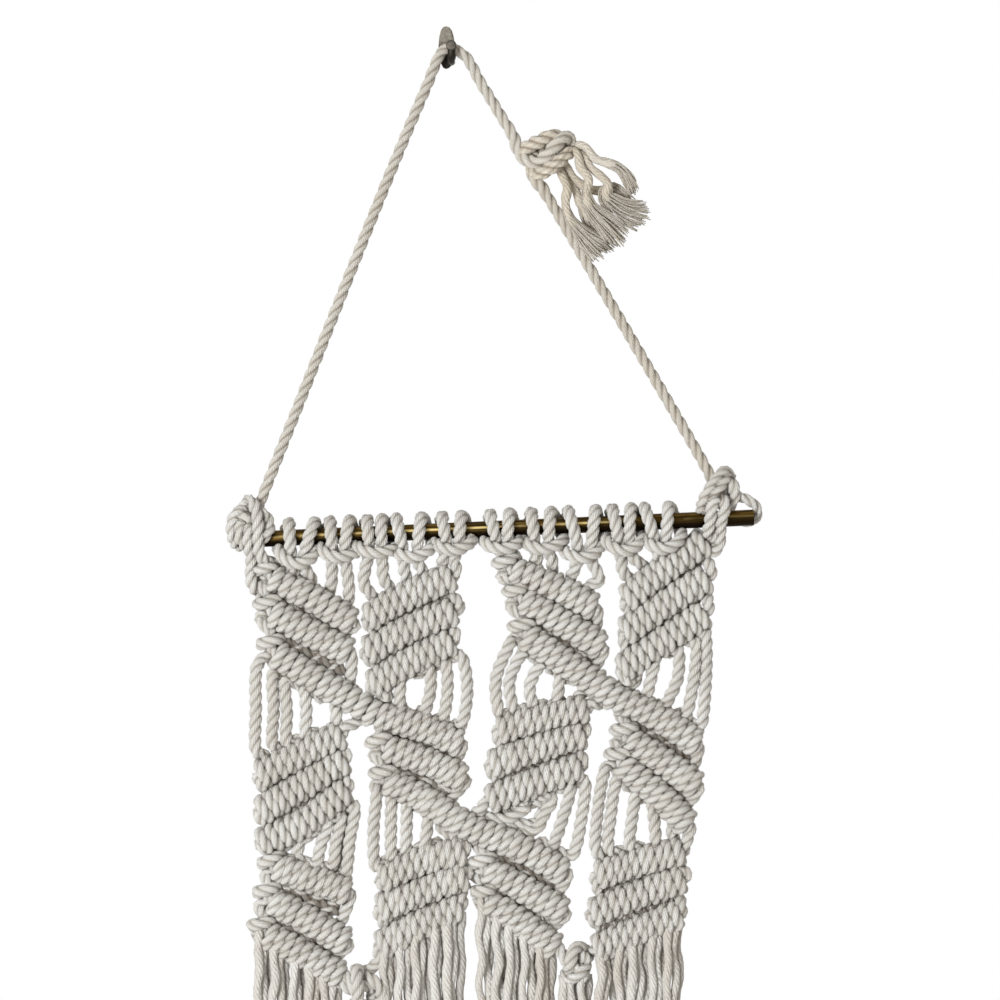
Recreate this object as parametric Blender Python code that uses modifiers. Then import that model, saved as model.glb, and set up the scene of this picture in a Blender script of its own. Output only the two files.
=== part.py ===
"""Macrame wall hanging on a brass rod and wall hook.

Metres, +Z up. The wall is the plane y = 0 and the hanging lies in front of it, at y < 0.
The origin is the centre of the wall hook's back face.
"""
import math

import bmesh
import bpy
from mathutils import Matrix, Vector

MM = 0.001

# Driving dimensions
ROPE_R = 3.25 * MM              # three-ply cotton rope, 6.5 mm thick
PLY_R = 2.2 * MM                # one ply of that rope, laid open in the fringe and the tassel
FACE_GAP = 0.3 * MM             # between pieces that touch

ROD_R = 4.75 * MM
ROD_X = (-123 * MM, 181 * MM)
ROD_Z = (-291 * MM, -277.7 * MM)  # the rod hangs a little higher on its right
PLANE_Y = -13 * MM              # depth of the rod's axis and of the knotted rows

HITCHES_PER_ROW = 5             # each double half hitch shows as one ridge
ROW_R = 7.6 * MM                # a row of hitches, half its height
ROW_DEPTH = 8.4 * MM            # and half its thickness
GROOVE = 0.84                   # size of the row between two ridges, as a share of its crest
WEB = 2.4 * MM                  # half thickness of the cords that run from row to row
ROW_SIDE = 0.55                 # a ridge's flat front face: half its height, as a share of ROW_R
ROW_FRONT = 0.92                # how far forward it lies, as a share of ROW_DEPTH
ROW_BACK = 0.86                 # and how far back the row's back lies
ROW_END = 0.55                  # how far a row's rounded end stands out, as a share of ROW_R
LINK_R = 4.2 * MM               # crossing cords that tie two leaves together

LARKS_SWEEP = 224               # degrees that a lark's head leg turns round the rod
LARKS_START = -10               # where the turn starts: just below the rod's front
LARKS_STEPS = 4
NECK_SHARE = 0.45               # the leg's neck lies this far from its place on the rod to its foot
NECK_FORWARD = 3.2 * MM
NECK_DROP = 13 * MM             # below the rod's axis
# A lark's head bight: how far in from its end, forward of the rod's axis and below it.
BIGHT_END = (0, 1.5 * MM, 11.5 * MM)
BIGHT_SHOULDER = (3 * MM, 8.5 * MM, 10.5 * MM)
BIGHT_MIDDLE = (0, 10 * MM, 13 * MM)

SEAT_SHARES = (0.15, 0.5, 0.85)  # where cords join the bottom rows to the rows above

FRINGE_END_Z = -756 * MM
FRINGE_PLIES = 15               # under each bottom row: five cords of three plies
KNOT_PLIES = 6                  # under each joining knot: two cords of three plies
PLY_LAYER = 4.9 * MM            # spacing of the three layers of plies, front to back
PLY_WAVE = 1.6 * MM             # a ply swings this far to each side, PLY_TURN radians a stretch
PLY_TURN = 2.3
END_UNEVEN = 6 * MM             # the trimmed ends vary by this, END_TURN radians from ply to ply
END_TURN = 6.1
KNOT_LAYER = 6.5 * MM           # the plies under a joining knot: two layers, three columns
KNOT_COLUMN = 6 * MM
KNOT_STAGGER = 2.5 * MM

PLATE_T = 2.0 * MM
PRONG_R = 2.2 * MM              # the prong that the rope hangs in
HEAD_R = 3.1 * MM               # its round upturned end
HEAD_Y = (-13.8 * MM, -18.5 * MM)
HEAD_STEPS = 3
TIE_CORE_R = 8.5 * MM
ROD_EDGE = 0.6 * MM
ROD_SIDES = 24

# The wall hook's plate as seen from the front, and its prong's route, in millimetres.
PLATE_OUTLINE = (
    (-0.4, 12.8), (2.3, 11.2), (4.0, 6.8), (4.9, 1.0), (5.5, -4.5), (3.8, -9.6), (1.2, -12.0),
    (-0.6, -12.5), (-2.2, -11.6), (-3.8, -8.6), (-4.8, -3.0), (-4.9, 1.0), (-4.4, 6.6),
    (-2.9, 11.2),
)
PRONG = ((2.9, -1, -7.6), (2.9, -11.6, -7.6), (2.9, -15.4, -5.0), (2.9, -15.8, 0.0))

# Rows of double half hitches, in millimetres. Each leaf is three rows. bow lifts a row's middle.
ROW_COLUMNS = ("leaf", "row", "left_x", "left_z", "right_x", "right_z", "bow")
ROWS = (
    ("A1", 1, -103, -313, -57, -338, 1.9),
    ("A1", 2, -101, -334, -57, -357, 0.0),
    ("A1", 3, -105, -353, -53, -386.4, -0.8),
    ("B1", 1, -44, -336, 3, -313, 1.8),
    ("B1", 2, -47, -357, 5, -333, 1.9),
    ("B1", 3, -44, -377, 3, -351, 1.5),
    ("C1", 1, 38, -306, 85, -330, 2.0),
    ("C1", 2, 40, -324, 89, -353, 1.3),
    ("C1", 3, 40.1, -343.4, 90.7, -377, 0.0),
    ("D1", 1, 108, -325, 150, -299, 1.5),
    ("D1", 2, 107, -343, 149, -316, 1.7),
    ("D1", 3, 103, -364, 150, -335, 0.7),
    ("A2", 1, -105, -426, -60, -405, 1.3),
    ("A2", 2, -105, -443, -57, -422, 0.9),
    ("A2", 3, -104, -463, -58, -439, 0.4),
    ("B2", 1, -40.6, -394.6, 10.6, -411.7, 2.2),
    ("B2", 2, -41, -413, 9, -431, 2.4),
    ("B2", 3, -39.5, -431.1, 4.7, -455.3, 1.8),
    ("C2", 1, 31, -403, 84, -390, 1.1),
    ("C2", 2, 28, -423, 82, -405, 1.2),
    ("C2", 3, 25, -444, 80, -424, 0.4),
    ("D2", 1, 101, -384.9, 149.6, -412.3, 3.0),
    ("D2", 2, 100, -405, 146, -435, 1.3),
    ("D2", 3, 97, -418, 140, -457, 1.8),
    ("A3", 1, -105, -483, -58, -498, 1.1),
    ("A3", 2, -108, -501, -59, -528, 0.8),
    ("A3", 3, -111, -521, -62, -548, 0.9),
    ("B3", 1, -38, -491, 10, -475, 1.1),
    ("B3", 2, -39, -508, 11, -489, 0.7),
    ("B3", 3, -39, -530, 8, -507, 0.8),
    ("C3", 1, 15.3, -461.2, 70.1, -487.1, 2.3),
    ("C3", 2, 19, -483, 69, -510, 0.7),
    ("C3", 3, 20, -501, 64, -531, 0.9),
    ("D3", 1, 89, -484, 141, -472, 0.9),
    ("D3", 2, 85, -500, 140, -489, 0.9),
    ("D3", 3, 88, -530, 137, -512, 0.6),
)

# Cords that run free from one tier's leaves to the next, in millimetres. side bows the middle.
STRAND_COLUMNS = ("top_x", "top_z", "foot_x", "foot_z", "side")
STRANDS = (
    (-111, -356, -111, -424, -1), (-102, -358, -103, -422, 0), (-94, -362, -94, -420, 0),
    (-81, -370, -82, -414, 0), (-70, -377, -69, -407, 0),
    (5, -352, 6, -408, 8), (-3, -356, -3, -404, 4), (-11, -360, -11, -400, 1),
    (-25, -367, -26, -398, 0),
    (40, -345, 33, -402, -7), (49, -350, 42, -399, -8), (60, -358, 53, -396, -6),
    (67, -364, 66, -394, 0),
    (148, -337, 146, -412, 6), (139, -343, 136, -405, 4), (130, -348, 127, -398, 4),
    (119, -355, 115, -390, 1),
    (-60, -441, -60, -495, 3), (-65, -444, -68, -493, 1), (-74, -448, -78, -490, 1),
    (-84, -453, -86, -487, 0),
    (-38, -431, -38, -491, -4), (-30, -434, -31, -488, -1), (-22, -438, -22, -484, -1),
    (-12, -442, -12, -481, 0),
    (78, -425, 69, -484, 4), (70, -429, 59, -478, 2), (59, -433, 47, -472, 1),
    (97, -419, 91, -483, -2), (105, -425, 98, -481, -2), (113, -433, 108, -478, -1),
    (123, -441, 122, -475, 0),
)

# Short cords that tie the leaves together where rows cross or turn, as routes of (x, y, z).
LINKS = (
    ((-43, -14, -379), (-40, -14, -394)),
    ((-50, -12, -388), (-60, -12, -406)),
    ((103, -14, -366), (101, -14, -385)),
    ((90, -12, -378), (83, -12, -391)),
    ((24, -14, -446), (19, -14, -461)),
    ((5, -12, -456), (12, -12, -464), (10, -12, -477)),
    ((-104, -13, -463), (-110, -12, -473), (-104, -13, -483)),
    ((140, -13, -457), (146, -12, -465), (140, -13, -473)),
)

# Lark's heads on the rod, in millimetres: each cord's two legs over the rod and their feet in
# the first row below, and the ends of the bight that holds them down in front.
LARKS_COLUMNS = ("leaf", "over_a", "foot_a", "over_b", "foot_b", "bight_left", "bight_right")
LARKS_HEADS = (
    ("A1", -91, -88, -80, -79, -97, -77),
    ("A1", -68, -69, -59, -59, -74, -55),
    ("B1", -48, -43, -39, -36, -53, -33),
    ("B1", -28, -25, -16, -14, -31, -11),
    ("B1", -2, -4, 8, 2, -5.5, 15),
    ("C1", 27, 39, 37, 47, 23, 43),
    ("C1", 51, 55, 60, 64, 47, 68),
    ("C1", 75, 73, 86, 83, 69, 91),
    ("D1", 99, 110, 109, 118, 94, 115),
    ("D1", 119, 127, 131, 136, 118, 139),
)

# Cords of the two knots that tie the hanging rope to the rod, as routes of (x, y, z).
LEFT_ROD_KNOT = (
    ((-111.1, -14.5, -272.8), (-112.7, -14.6, -276.8), (-116, -21, -282), (-119, -24.5, -288),
     (-118, -23, -297), (-117.5, -16, -306), (-116, -14, -312), (-104, -13, -315)),
    ((-116, -20, -282), (-124, -20.5, -281), (-123, -17.5, -272), (-119, -13.5, -268),
     (-116.5, -6, -271), (-108, -6, -277), (-103.5, -12, -280), (-103.5, -20, -283),
     (-107, -24, -290), (-111, -21, -300), (-112, -14, -311), (-100, -13, -316)),
)
LEFT_ROD_RINGS = (-125.3, -117.6, -110.4)
RIGHT_ROD_KNOT = (
    ((158.1, -14.5, -256.3), (160.3, -14.5, -260), (162.5, -20, -267), (162, -25, -276),
     (160, -19, -289), (157, -14, -298), (147, -13, -300)),
    ((166, -18, -267), (171.5, -16, -262), (171, -16, -255), (167, -17.5, -250.5),
     (160.5, -21.5, -255.5), (153.5, -21.5, -262.5), (150.8, -20, -270), (154, -24, -277),
     (154.5, -21, -286), (148, -14, -299)),
    ((168, -17, -262), (177, -14, -264), (184.5, -9, -271), (184, -4.5, -280),
     (176, -3.8, -285), (165, -4.2, -281)),
)
RIGHT_ROD_RINGS = (155.6, 163.2)
ROD_RING_STEPS = 8

# Hanging rope: up from the left rod knot, through the hook behind its prong's end, down to the
# tie knot, and on from there to the right rod knot.
HANGER_LEFT = (
    (-111.0, -14.5, -272.5), (-84, -14, -203.5), (-57, -13.5, -134.5), (-30, -12.5, -67),
    (-17.5, -11, -37), (-10.4, -9.5, -20.3), (-6.6, -9.2, -10.5), (-3.2, -9, -3.9),
    (1.0, -9, -1.5), (6.2, -9, -2.4), (11.2, -9.3, -5.9), (14.9, -9.8, -11.4),
    (19.3, -10.6, -20.0), (26, -12, -32), (42.6, -14, -62.6),
)
HANGER_RIGHT = (
    (54.6, -14, -80.2), (88, -14, -137), (122, -14.2, -195), (157.95, -14.5, -256.1),
)

# The tie knot: the rope's way through it, a closed turn round that, and the six plies that the
# rope's two ends free.
TIE_THROUGH = (
    (42.75, -14, -62.9), (44.6, -14, -66.5), (50, -17, -70), (58, -22, -69), (66, -21, -63),
    (69.5, -17, -56.5), (64, -14, -54.5), (57, -16, -60), (51.5, -16, -70),
    (52.5, -14, -76.5), (54.45, -14, -79.95),
)
TIE_ROUND = (
    (54, -14, -56.5), (60, -17, -53), (68, -19, -55.5), (73, -18, -62), (70, -15, -73),
    (61, -12, -76), (54, -11, -72), (52, -12, -64),
)
TIE_CENTRE = (60.0, -14.5, -66.0)
TASSEL_PLIES = (
    ((66, -15, -58), (80, -17, -58), (89, -18, -65), (101, -18, -70), (110, -18, -83),
     (114, -18, -92)),
    ((66, -15, -64), (82, -13, -66), (88, -12, -75), (96, -12, -82), (98, -12, -91),
     (106, -12, -101), (120, -12, -97)),
    ((66, -15, -68), (78, -19, -72), (84, -20, -83), (83, -20, -93), (92, -20, -102),
     (112, -20, -109)),
    ((64, -13, -70), (74, -10, -79), (79, -8, -90), (84, -7, -103), (97, -7, -112)),
    ((62, -15, -70), (68, -15, -80), (71, -15, -90), (79, -15, -102), (94, -15, -117),
     (108, -15, -122)),
    ((58, -12, -70), (63, -10, -82), (66, -9, -96), (75, -9, -110), (87, -9, -124),
     (98, -9, -131)),
)

# Joining knots between the bottom rows: route and half thickness at each point.
JOIN_KNOTS = {
    "left": (((-63, -13, -548), 5), ((-57, -14, -550), 7), ((-52, -15, -549), 10),
             ((-48, -15, -547), 10.5), ((-44, -14, -540), 7), ((-39, -13, -531), 5)),
    "right": (((63, -13, -531), 5), ((69, -14, -535), 7), ((73, -15, -537), 10),
              ((77, -15, -537), 10.5), ((82, -14, -534), 7), ((89, -13, -530), 5)),
}

COLOURS = {
    "cotton": ((0.66, 0.63, 0.58, 1.0), 0.9, 0.0),
    "brass": ((0.30, 0.20, 0.07, 1.0), 0.35, 1.0),
    "dark_metal": ((0.11, 0.095, 0.085, 1.0), 0.5, 1.0),
}


# Tools -------------------------------------------------------------------------------------

MERGE = 0.00001                 # points closer than this are one
SHARP = math.radians(40)


def clear_scene():
    for old in list(bpy.data.objects):
        bpy.data.objects.remove(old, do_unlink=True)


def named_material(name):
    found = bpy.data.materials.get(name)
    if found:
        return found
    colour, roughness, metallic = COLOURS[name]
    made = bpy.data.materials.new(name)
    made.use_nodes = True
    shader = made.node_tree.nodes["Principled BSDF"]
    shader.inputs["Base Color"].default_value = colour
    shader.inputs["Roughness"].default_value = roughness
    shader.inputs["Metallic"].default_value = metallic
    return made


def add_object(name, mesh, collection):
    obj = bpy.data.objects.new(name, mesh)
    collection.objects.link(obj)
    return obj


def tube(name, points, radius, collection, radii=None, round_steps=1, closed=False):
    """A round cord through the points (metres), as a closed mesh with welded caps."""
    curve = bpy.data.curves.new(name, "CURVE")
    curve.dimensions = "3D"
    curve.bevel_depth = radius
    curve.bevel_resolution = round_steps
    curve.use_fill_caps = True
    spline = curve.splines.new("POLY")
    spline.points.add(len(points) - 1)
    for index, point in enumerate(points):
        spline.points[index].co = (*point, 1.0)
        if radii:
            spline.points[index].radius = radii[index] / radius
    spline.use_cyclic_u = closed
    source = add_object(name, curve, collection)
    bpy.context.view_layer.update()
    graph = bpy.context.evaluated_depsgraph_get()
    mesh = bpy.data.meshes.new_from_object(source.evaluated_get(graph))
    bpy.data.objects.remove(source, do_unlink=True)
    work = bmesh.new()
    work.from_mesh(mesh)
    bmesh.ops.remove_doubles(work, verts=work.verts, dist=MERGE)
    bmesh.ops.recalc_face_normals(work, faces=work.faces)
    work.to_mesh(mesh)
    work.free()
    return add_object(name, mesh, collection)


def millimetres(points):
    return [tuple(value * MM for value in point) for point in points]


def fuse(name, pieces, material, collection):
    """Unite overlapping pieces into one closed body."""
    scratch = bpy.data.collections.new(name + "_pieces")
    bpy.context.scene.collection.children.link(scratch)
    for piece in pieces[1:]:
        for owner in list(piece.users_collection):
            owner.objects.unlink(piece)
        scratch.objects.link(piece)
    base = pieces[0]
    union = base.modifiers.new("union", "BOOLEAN")
    union.operation = "UNION"
    union.operand_type = "COLLECTION"
    union.collection = scratch
    union.solver = "EXACT"
    union.use_self = True
    bpy.context.view_layer.update()
    graph = bpy.context.evaluated_depsgraph_get()
    mesh = bpy.data.meshes.new_from_object(base.evaluated_get(graph))
    for piece in pieces:
        bpy.data.objects.remove(piece, do_unlink=True)
    bpy.data.collections.remove(scratch)
    mesh.name = name
    return finish(name, mesh, material, collection)


def finish(name, mesh, material, collection):
    work = bmesh.new()
    work.from_mesh(mesh)
    bmesh.ops.dissolve_degenerate(work, edges=work.edges, dist=MERGE / 2)
    bmesh.ops.triangulate(work, faces=work.faces)
    work.to_mesh(mesh)
    work.free()
    mesh.materials.clear()
    mesh.materials.append(named_material(material))
    mesh.set_sharp_from_angle(angle=SHARP)
    return add_object(name, mesh, collection)


# Measures of the hanging -------------------------------------------------------------------

def rod_z(x):
    share = (x - ROD_X[0]) / (ROD_X[1] - ROD_X[0])
    return ROD_Z[0] + share * (ROD_Z[1] - ROD_Z[0])


def leaf_rows(leaf):
    rows = [dict(zip(ROW_COLUMNS, values)) for values in ROWS]
    return [row for row in rows if row["leaf"] == leaf]


def row_point(row, share):
    """Point on a row's centre line, and the direction square to the row in the cloth's plane."""
    left = Vector((row["left_x"], 0, row["left_z"])) * MM
    right = Vector((row["right_x"], 0, row["right_z"])) * MM
    along = (right - left).normalized()
    upward = Vector((-along.z, 0, along.x))
    lift = upward * (row["bow"] * MM * math.sin(math.pi * share))
    centre = left.lerp(right, share) + lift + Vector((0, PLANE_Y, 0))
    return centre, upward, along


def row_height(row, x):
    """Height of a row's centre line at x (metres)."""
    left, right = row["left_x"] * MM, row["right_x"] * MM
    share = min(max((x - left) / (right - left), 0.0), 1.0)
    return row_point(row, share)[0].z


# Knotted rows ------------------------------------------------------------------------------

def leaf_section(rows, share, size):
    """One closed section through a leaf: its rows' ridges in front, and their backs."""
    front, back = [], []
    centres = [row_point(row, share) for row in rows]
    radius, depth = ROW_R * size, ROW_DEPTH * size
    for index, (centre, upward, _) in enumerate(centres):
        if index == 0:
            front.append(centre + upward * radius)
        forward = Vector((0, -ROW_FRONT * depth, 0))
        front.append(centre + upward * (ROW_SIDE * radius) + forward)
        front.append(centre - upward * (ROW_SIDE * radius) + forward)
        back.append(centre + Vector((0, ROW_BACK * depth, 0)))
        below = centre - upward * radius
        if index == len(rows) - 1:
            front.append(below)
            continue
        next_centre, next_up, _ = centres[index + 1]
        middle = (below + next_centre + next_up * radius) / 2
        front.append(middle + Vector((0, -WEB, 0)))
        back.append(middle + Vector((0, WEB, 0)))
    return front, back


def leaf_body(name, rows, collection):
    """A leaf's rows, lofted from sections that alternate between ridges and grooves."""
    work = bmesh.new()
    steps = 2 * HITCHES_PER_ROW
    rings = []
    for step in range(steps + 1):
        size = 1.0 if step % 2 else GROOVE
        front, back = leaf_section(rows, step / steps, size)
        rings.append([work.verts.new(point) for point in front + back[::-1]])
    count = len(rings[0])
    for ring, following in zip(rings, rings[1:]):
        for index in range(count):
            ahead = (index + 1) % count
            work.faces.new((ring[index], ring[ahead], following[ahead], following[index]))
    for ring, share, side in ((rings[0], 0.0, -1.0), (rings[-1], 1.0, 1.0)):
        close_leaf_end(work, ring, rows, share, side)
    bmesh.ops.recalc_face_normals(work, faces=work.faces)
    mesh = bpy.data.meshes.new(name)
    work.to_mesh(mesh)
    work.free()
    return add_object(name, mesh, collection)


def close_leaf_end(work, ring, rows, share, side):
    """Round the end of each row: a low cone of faces from its rim to a point beyond."""
    last = len(ring) - 1
    for index, row in enumerate(rows):
        centre, _, along = row_point(row, share)
        tip = work.verts.new(centre + along * (side * ROW_END * ROW_R))
        top = 0 if index == 0 else 3 * index
        rim = [ring[top], ring[3 * index + 1], ring[3 * index + 2], ring[3 * index + 3]]
        behind = last - 2 * index
        if index < len(rows) - 1:
            rim.append(ring[behind - 1])
        rim.append(ring[behind])
        if index > 0:
            rim.append(ring[behind + 1])
        for corner, following in zip(rim, rim[1:] + rim[:1]):
            work.faces.new((corner, following, tip))


def row_body(name, row, collection):
    """A single row: a ridged bar round its holding cord."""
    steps = 2 * HITCHES_PER_ROW
    points = [row_point(row, step / steps)[0] for step in range(steps + 1)]
    radii = [ROW_R * (1.0 if step % 2 else GROOVE) for step in range(steps + 1)]
    return tube(name, points, ROW_R, collection, radii)


# Cords of the knotted part -----------------------------------------------------------------

def free_strand(name, values, collection):
    row = dict(zip(STRAND_COLUMNS, values))
    points = []
    for share in (0.0, 0.3, 0.7, 1.0):
        x = row["top_x"] + (row["foot_x"] - row["top_x"]) * share
        x += row["side"] * (1.0 if 0.0 < share < 1.0 else 0.0)
        z = row["top_z"] + (row["foot_z"] - row["top_z"]) * share
        points.append((x * MM, PLANE_Y, z * MM))
    if row["side"] == 0:
        points = [points[0], points[-1]]
    return tube(name, points, ROPE_R, collection)


def rod_arc(x_start, x_end, first, last, steps, reach):
    """Points round the rod, from the angle first to last: 0 is in front of it, 90 above."""
    points = []
    for step in range(steps + 1):
        share = step / steps
        angle = math.radians(first + (last - first) * share)
        x = x_start + (x_end - x_start) * share
        points.append((x, PLANE_Y - reach * math.cos(angle), rod_z(x) + reach * math.sin(angle)))
    return points


def larks_head(name, values, collection):
    """One cord folded over the rod: two legs in front of it, held down by their own bight."""
    row = dict(zip(LARKS_COLUMNS, values))
    top_row = leaf_rows(row["leaf"])[0]
    clear = ROD_R + ROPE_R + FACE_GAP
    reach = clear / math.cos(math.radians(LARKS_SWEEP / LARKS_STEPS / 2))
    x = {key: row[key] * MM for key in LARKS_COLUMNS[1:]}

    def leg(over, foot, bight):
        neck_x = over + (foot - over) * NECK_SHARE
        route = [(foot, PLANE_Y, row_height(top_row, foot)),
                 (neck_x, PLANE_Y - NECK_FORWARD, rod_z(neck_x) - NECK_DROP)]
        return route + rod_arc(over, (over + bight) / 2, LARKS_START, LARKS_START + LARKS_SWEEP,
                               LARKS_STEPS, reach)

    left, right = x["bight_left"], x["bight_right"]
    middle = (left + right) / 2

    def bight_point(base, side, place):
        inset, forward, drop = place
        return (base + side * inset, PLANE_Y - forward, rod_z(middle) - drop)

    first = leg(x["over_a"], x["foot_a"], left)
    second = leg(x["over_b"], x["foot_b"], right)
    bight = [bight_point(left, 1, BIGHT_END), bight_point(left, 1, BIGHT_SHOULDER),
             bight_point(middle, 1, BIGHT_MIDDLE),
             bight_point(right, -1, BIGHT_SHOULDER), bight_point(right, -1, BIGHT_END)]
    return tube(name, first + bight + second[::-1], ROPE_R, collection)


def rod_ring(name, x_mm, collection):
    clear = ROD_R + ROPE_R + FACE_GAP
    reach = clear / math.cos(math.pi / ROD_RING_STEPS)
    x = x_mm * MM
    points = rod_arc(x, x, 0, 360, ROD_RING_STEPS, reach)[:-1]
    return tube(name, points, ROPE_R, collection, closed=True)


def row_seats(leaf, lower, collection):
    """Cords from a leaf's second row to its bottom row, cut face to face between the two."""
    _, second, bottom = leaf_rows(leaf)
    pieces = []
    for share in SEAT_SHARES:
        foot, upward, _ = row_point(bottom, share)
        spacing = (row_point(second, share)[0] - foot).dot(upward)
        below = foot + upward * ((spacing - FACE_GAP) / 2)
        above = foot + upward * ((spacing + FACE_GAP) / 2)
        ends = (below, foot) if lower else (foot + upward * spacing, above)
        pieces.append(tube(f"seat_{leaf}", ends, ROPE_R, collection))
    return pieces


def knotted_cords(collection):
    pieces = []
    for leaf in ("A1", "B1", "C1", "D1", "A2", "B2", "C2", "D2", "A3", "B3", "C3", "D3"):
        rows = leaf_rows(leaf)
        if leaf.endswith("3"):
            rows = rows[:2]
            pieces += row_seats(leaf, False, collection)
        pieces.append(leaf_body("leaf_" + leaf, rows, collection))
    for index, values in enumerate(STRANDS):
        pieces.append(free_strand(f"strand_{index}", values, collection))
    for index, values in enumerate(LARKS_HEADS):
        pieces.append(larks_head(f"larks_head_{index}", values, collection))
    for index, route in enumerate(LINKS):
        pieces.append(tube(f"link_{index}", millimetres(route), LINK_R, collection))
    for index, route in enumerate(LEFT_ROD_KNOT + RIGHT_ROD_KNOT):
        pieces.append(tube(f"rod_knot_{index}", millimetres(route), ROPE_R, collection))
    for index, x_mm in enumerate(LEFT_ROD_RINGS + RIGHT_ROD_RINGS):
        pieces.append(rod_ring(f"rod_ring_{index}", x_mm, collection))
    return fuse("knotted_cords", pieces, "cotton", collection)


# Fringe ------------------------------------------------------------------------------------

def fringe_ply(name, root, end_x, end_z, phase, collection):
    """One wavy ply that hangs from its root inside a row."""
    points = [root]
    for step in (1, 2):
        share = step / 2
        x = root[0] + (end_x - root[0]) * share + PLY_WAVE * math.sin(phase + PLY_TURN * step)
        points.append((x, root[1], root[2] + (end_z - root[2]) * share))
    return tube(name, points, PLY_R, collection, round_steps=0)


def fringe(side, leaves, collection):
    pieces = []
    for leaf in leaves:
        row = leaf_rows(leaf)[2]
        pieces.append(row_body("bottom_" + leaf, row, collection))
        pieces += row_seats(leaf, True, collection)
        for index in range(FRINGE_PLIES):
            share = (index + 0.5) / FRINGE_PLIES
            centre = row_point(row, share)[0]
            cord, layer = divmod(index, 3)
            root = (centre.x, PLANE_Y + (layer - 1) * PLY_LAYER, centre.z)
            end_z = FRINGE_END_Z + END_UNEVEN * math.sin(END_TURN * index)
            pieces.append(fringe_ply(f"ply_{leaf}_{index}", root, centre.x, end_z,
                                     2.1 * cord + 0.9 * layer, collection))
    knot = JOIN_KNOTS[side]
    route = millimetres([point for point, _ in knot])
    radii = [radius * MM for _, radius in knot]
    pieces.append(tube("joining_knot_" + side, route, ROW_R, collection, radii))
    middle = Vector(route[2]).lerp(Vector(route[3]), 0.5)
    for index in range(KNOT_PLIES):
        column, layer = divmod(index, 2)
        x = middle.x + (column - 1) * KNOT_COLUMN + layer * KNOT_STAGGER
        end_z = FRINGE_END_Z - END_UNEVEN * math.sin(END_TURN * index)
        root = (x, PLANE_Y + (layer - 0.5) * KNOT_LAYER, middle.z)
        pieces.append(fringe_ply(f"ply_join_{side}_{index}", root, x, end_z, 1.1 * index,
                                 collection))
    return fuse("fringe_" + side, pieces, "cotton", collection)


# Rod, hook and hanging rope ----------------------------------------------------------------

def brass_rod(collection):
    left = Vector((ROD_X[0], PLANE_Y, ROD_Z[0]))
    right = Vector((ROD_X[1], PLANE_Y, ROD_Z[1]))
    bpy.ops.mesh.primitive_cylinder_add(vertices=ROD_SIDES, radius=ROD_R, depth=(right - left).length)
    rod = bpy.context.object
    rod.name = rod.data.name = "brass_rod"
    rod.rotation_euler = (0, math.atan2(right.x - left.x, right.z - left.z), 0)
    rod.location = (left + right) / 2
    edge = rod.modifiers.new("edge", "BEVEL")
    edge.width = ROD_EDGE
    edge.segments = 1
    edge.limit_method = "ANGLE"
    for owner in list(rod.users_collection):
        owner.objects.unlink(rod)
    collection.objects.link(rod)
    rod.data.materials.append(named_material("brass"))
    rod.data.shade_smooth()
    rod.data.set_sharp_from_angle(angle=SHARP)
    return rod


def wall_hook(collection):
    """A leaf-shaped back plate with a prong that runs out low and turns up to a round end."""
    curve = bpy.data.curves.new("plate", "CURVE")
    curve.dimensions = "2D"
    curve.fill_mode = "BOTH"
    curve.extrude = PLATE_T / 2
    spline = curve.splines.new("POLY")
    spline.points.add(len(PLATE_OUTLINE) - 1)
    for index, (x, z) in enumerate(PLATE_OUTLINE):
        spline.points[index].co = (x * MM, z * MM, 0, 1)
    spline.use_cyclic_u = True
    source = add_object("plate", curve, collection)
    bpy.context.view_layer.update()
    graph = bpy.context.evaluated_depsgraph_get()
    mesh = bpy.data.meshes.new_from_object(source.evaluated_get(graph))
    bpy.data.objects.remove(source, do_unlink=True)
    work = bmesh.new()
    work.from_mesh(mesh)
    bmesh.ops.remove_doubles(work, verts=work.verts, dist=MERGE)
    for vert in work.verts:
        x, z, lift = vert.co
        vert.co = (x, -PLATE_T / 2 - lift, z)
    bmesh.ops.recalc_face_normals(work, faces=work.faces)
    work.to_mesh(mesh)
    work.free()
    plate = add_object("plate", mesh, collection)
    prong = tube("prong", millimetres(PRONG), PRONG_R, collection, round_steps=HEAD_STEPS)
    end_x, _, end_z = millimetres(PRONG)[-1]
    head_route = [(end_x, y, end_z) for y in HEAD_Y]
    head = tube("head", head_route, HEAD_R, collection, round_steps=HEAD_STEPS)
    return fuse("wall_hook", [plate, prong, head], "dark_metal", collection)


def shortened(points):
    """The same route with both ends drawn back by the gap between pieces."""
    route = [Vector(point) for point in points]
    route[0] += (route[1] - route[0]).normalized() * FACE_GAP
    route[-1] += (route[-2] - route[-1]).normalized() * FACE_GAP
    return route


def hanging_cord(side, route, collection):
    cord = tube("cord", shortened(millimetres(route)), ROPE_R, collection, round_steps=2)
    mesh = cord.data.copy()
    bpy.data.objects.remove(cord, do_unlink=True)
    return finish("hanging_cord_" + side, mesh, "cotton", collection)


def tie_knot(collection):
    bpy.ops.mesh.primitive_ico_sphere_add(subdivisions=2, radius=TIE_CORE_R)
    core = bpy.context.object
    core.data.transform(Matrix.Translation(Vector(TIE_CENTRE) * MM))
    for owner in list(core.users_collection):
        owner.objects.unlink(core)
    collection.objects.link(core)
    pieces = [
        core,
        tube("tie_through", millimetres(TIE_THROUGH), ROPE_R, collection),
        tube("tie_round", millimetres(TIE_ROUND), ROPE_R, collection, closed=True),
    ]
    for index, route in enumerate(TASSEL_PLIES):
        pieces.append(tube(f"tassel_{index}", millimetres(route), PLY_R, collection,
                           round_steps=0))
    return fuse("tie_knot", pieces, "cotton", collection)


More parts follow.
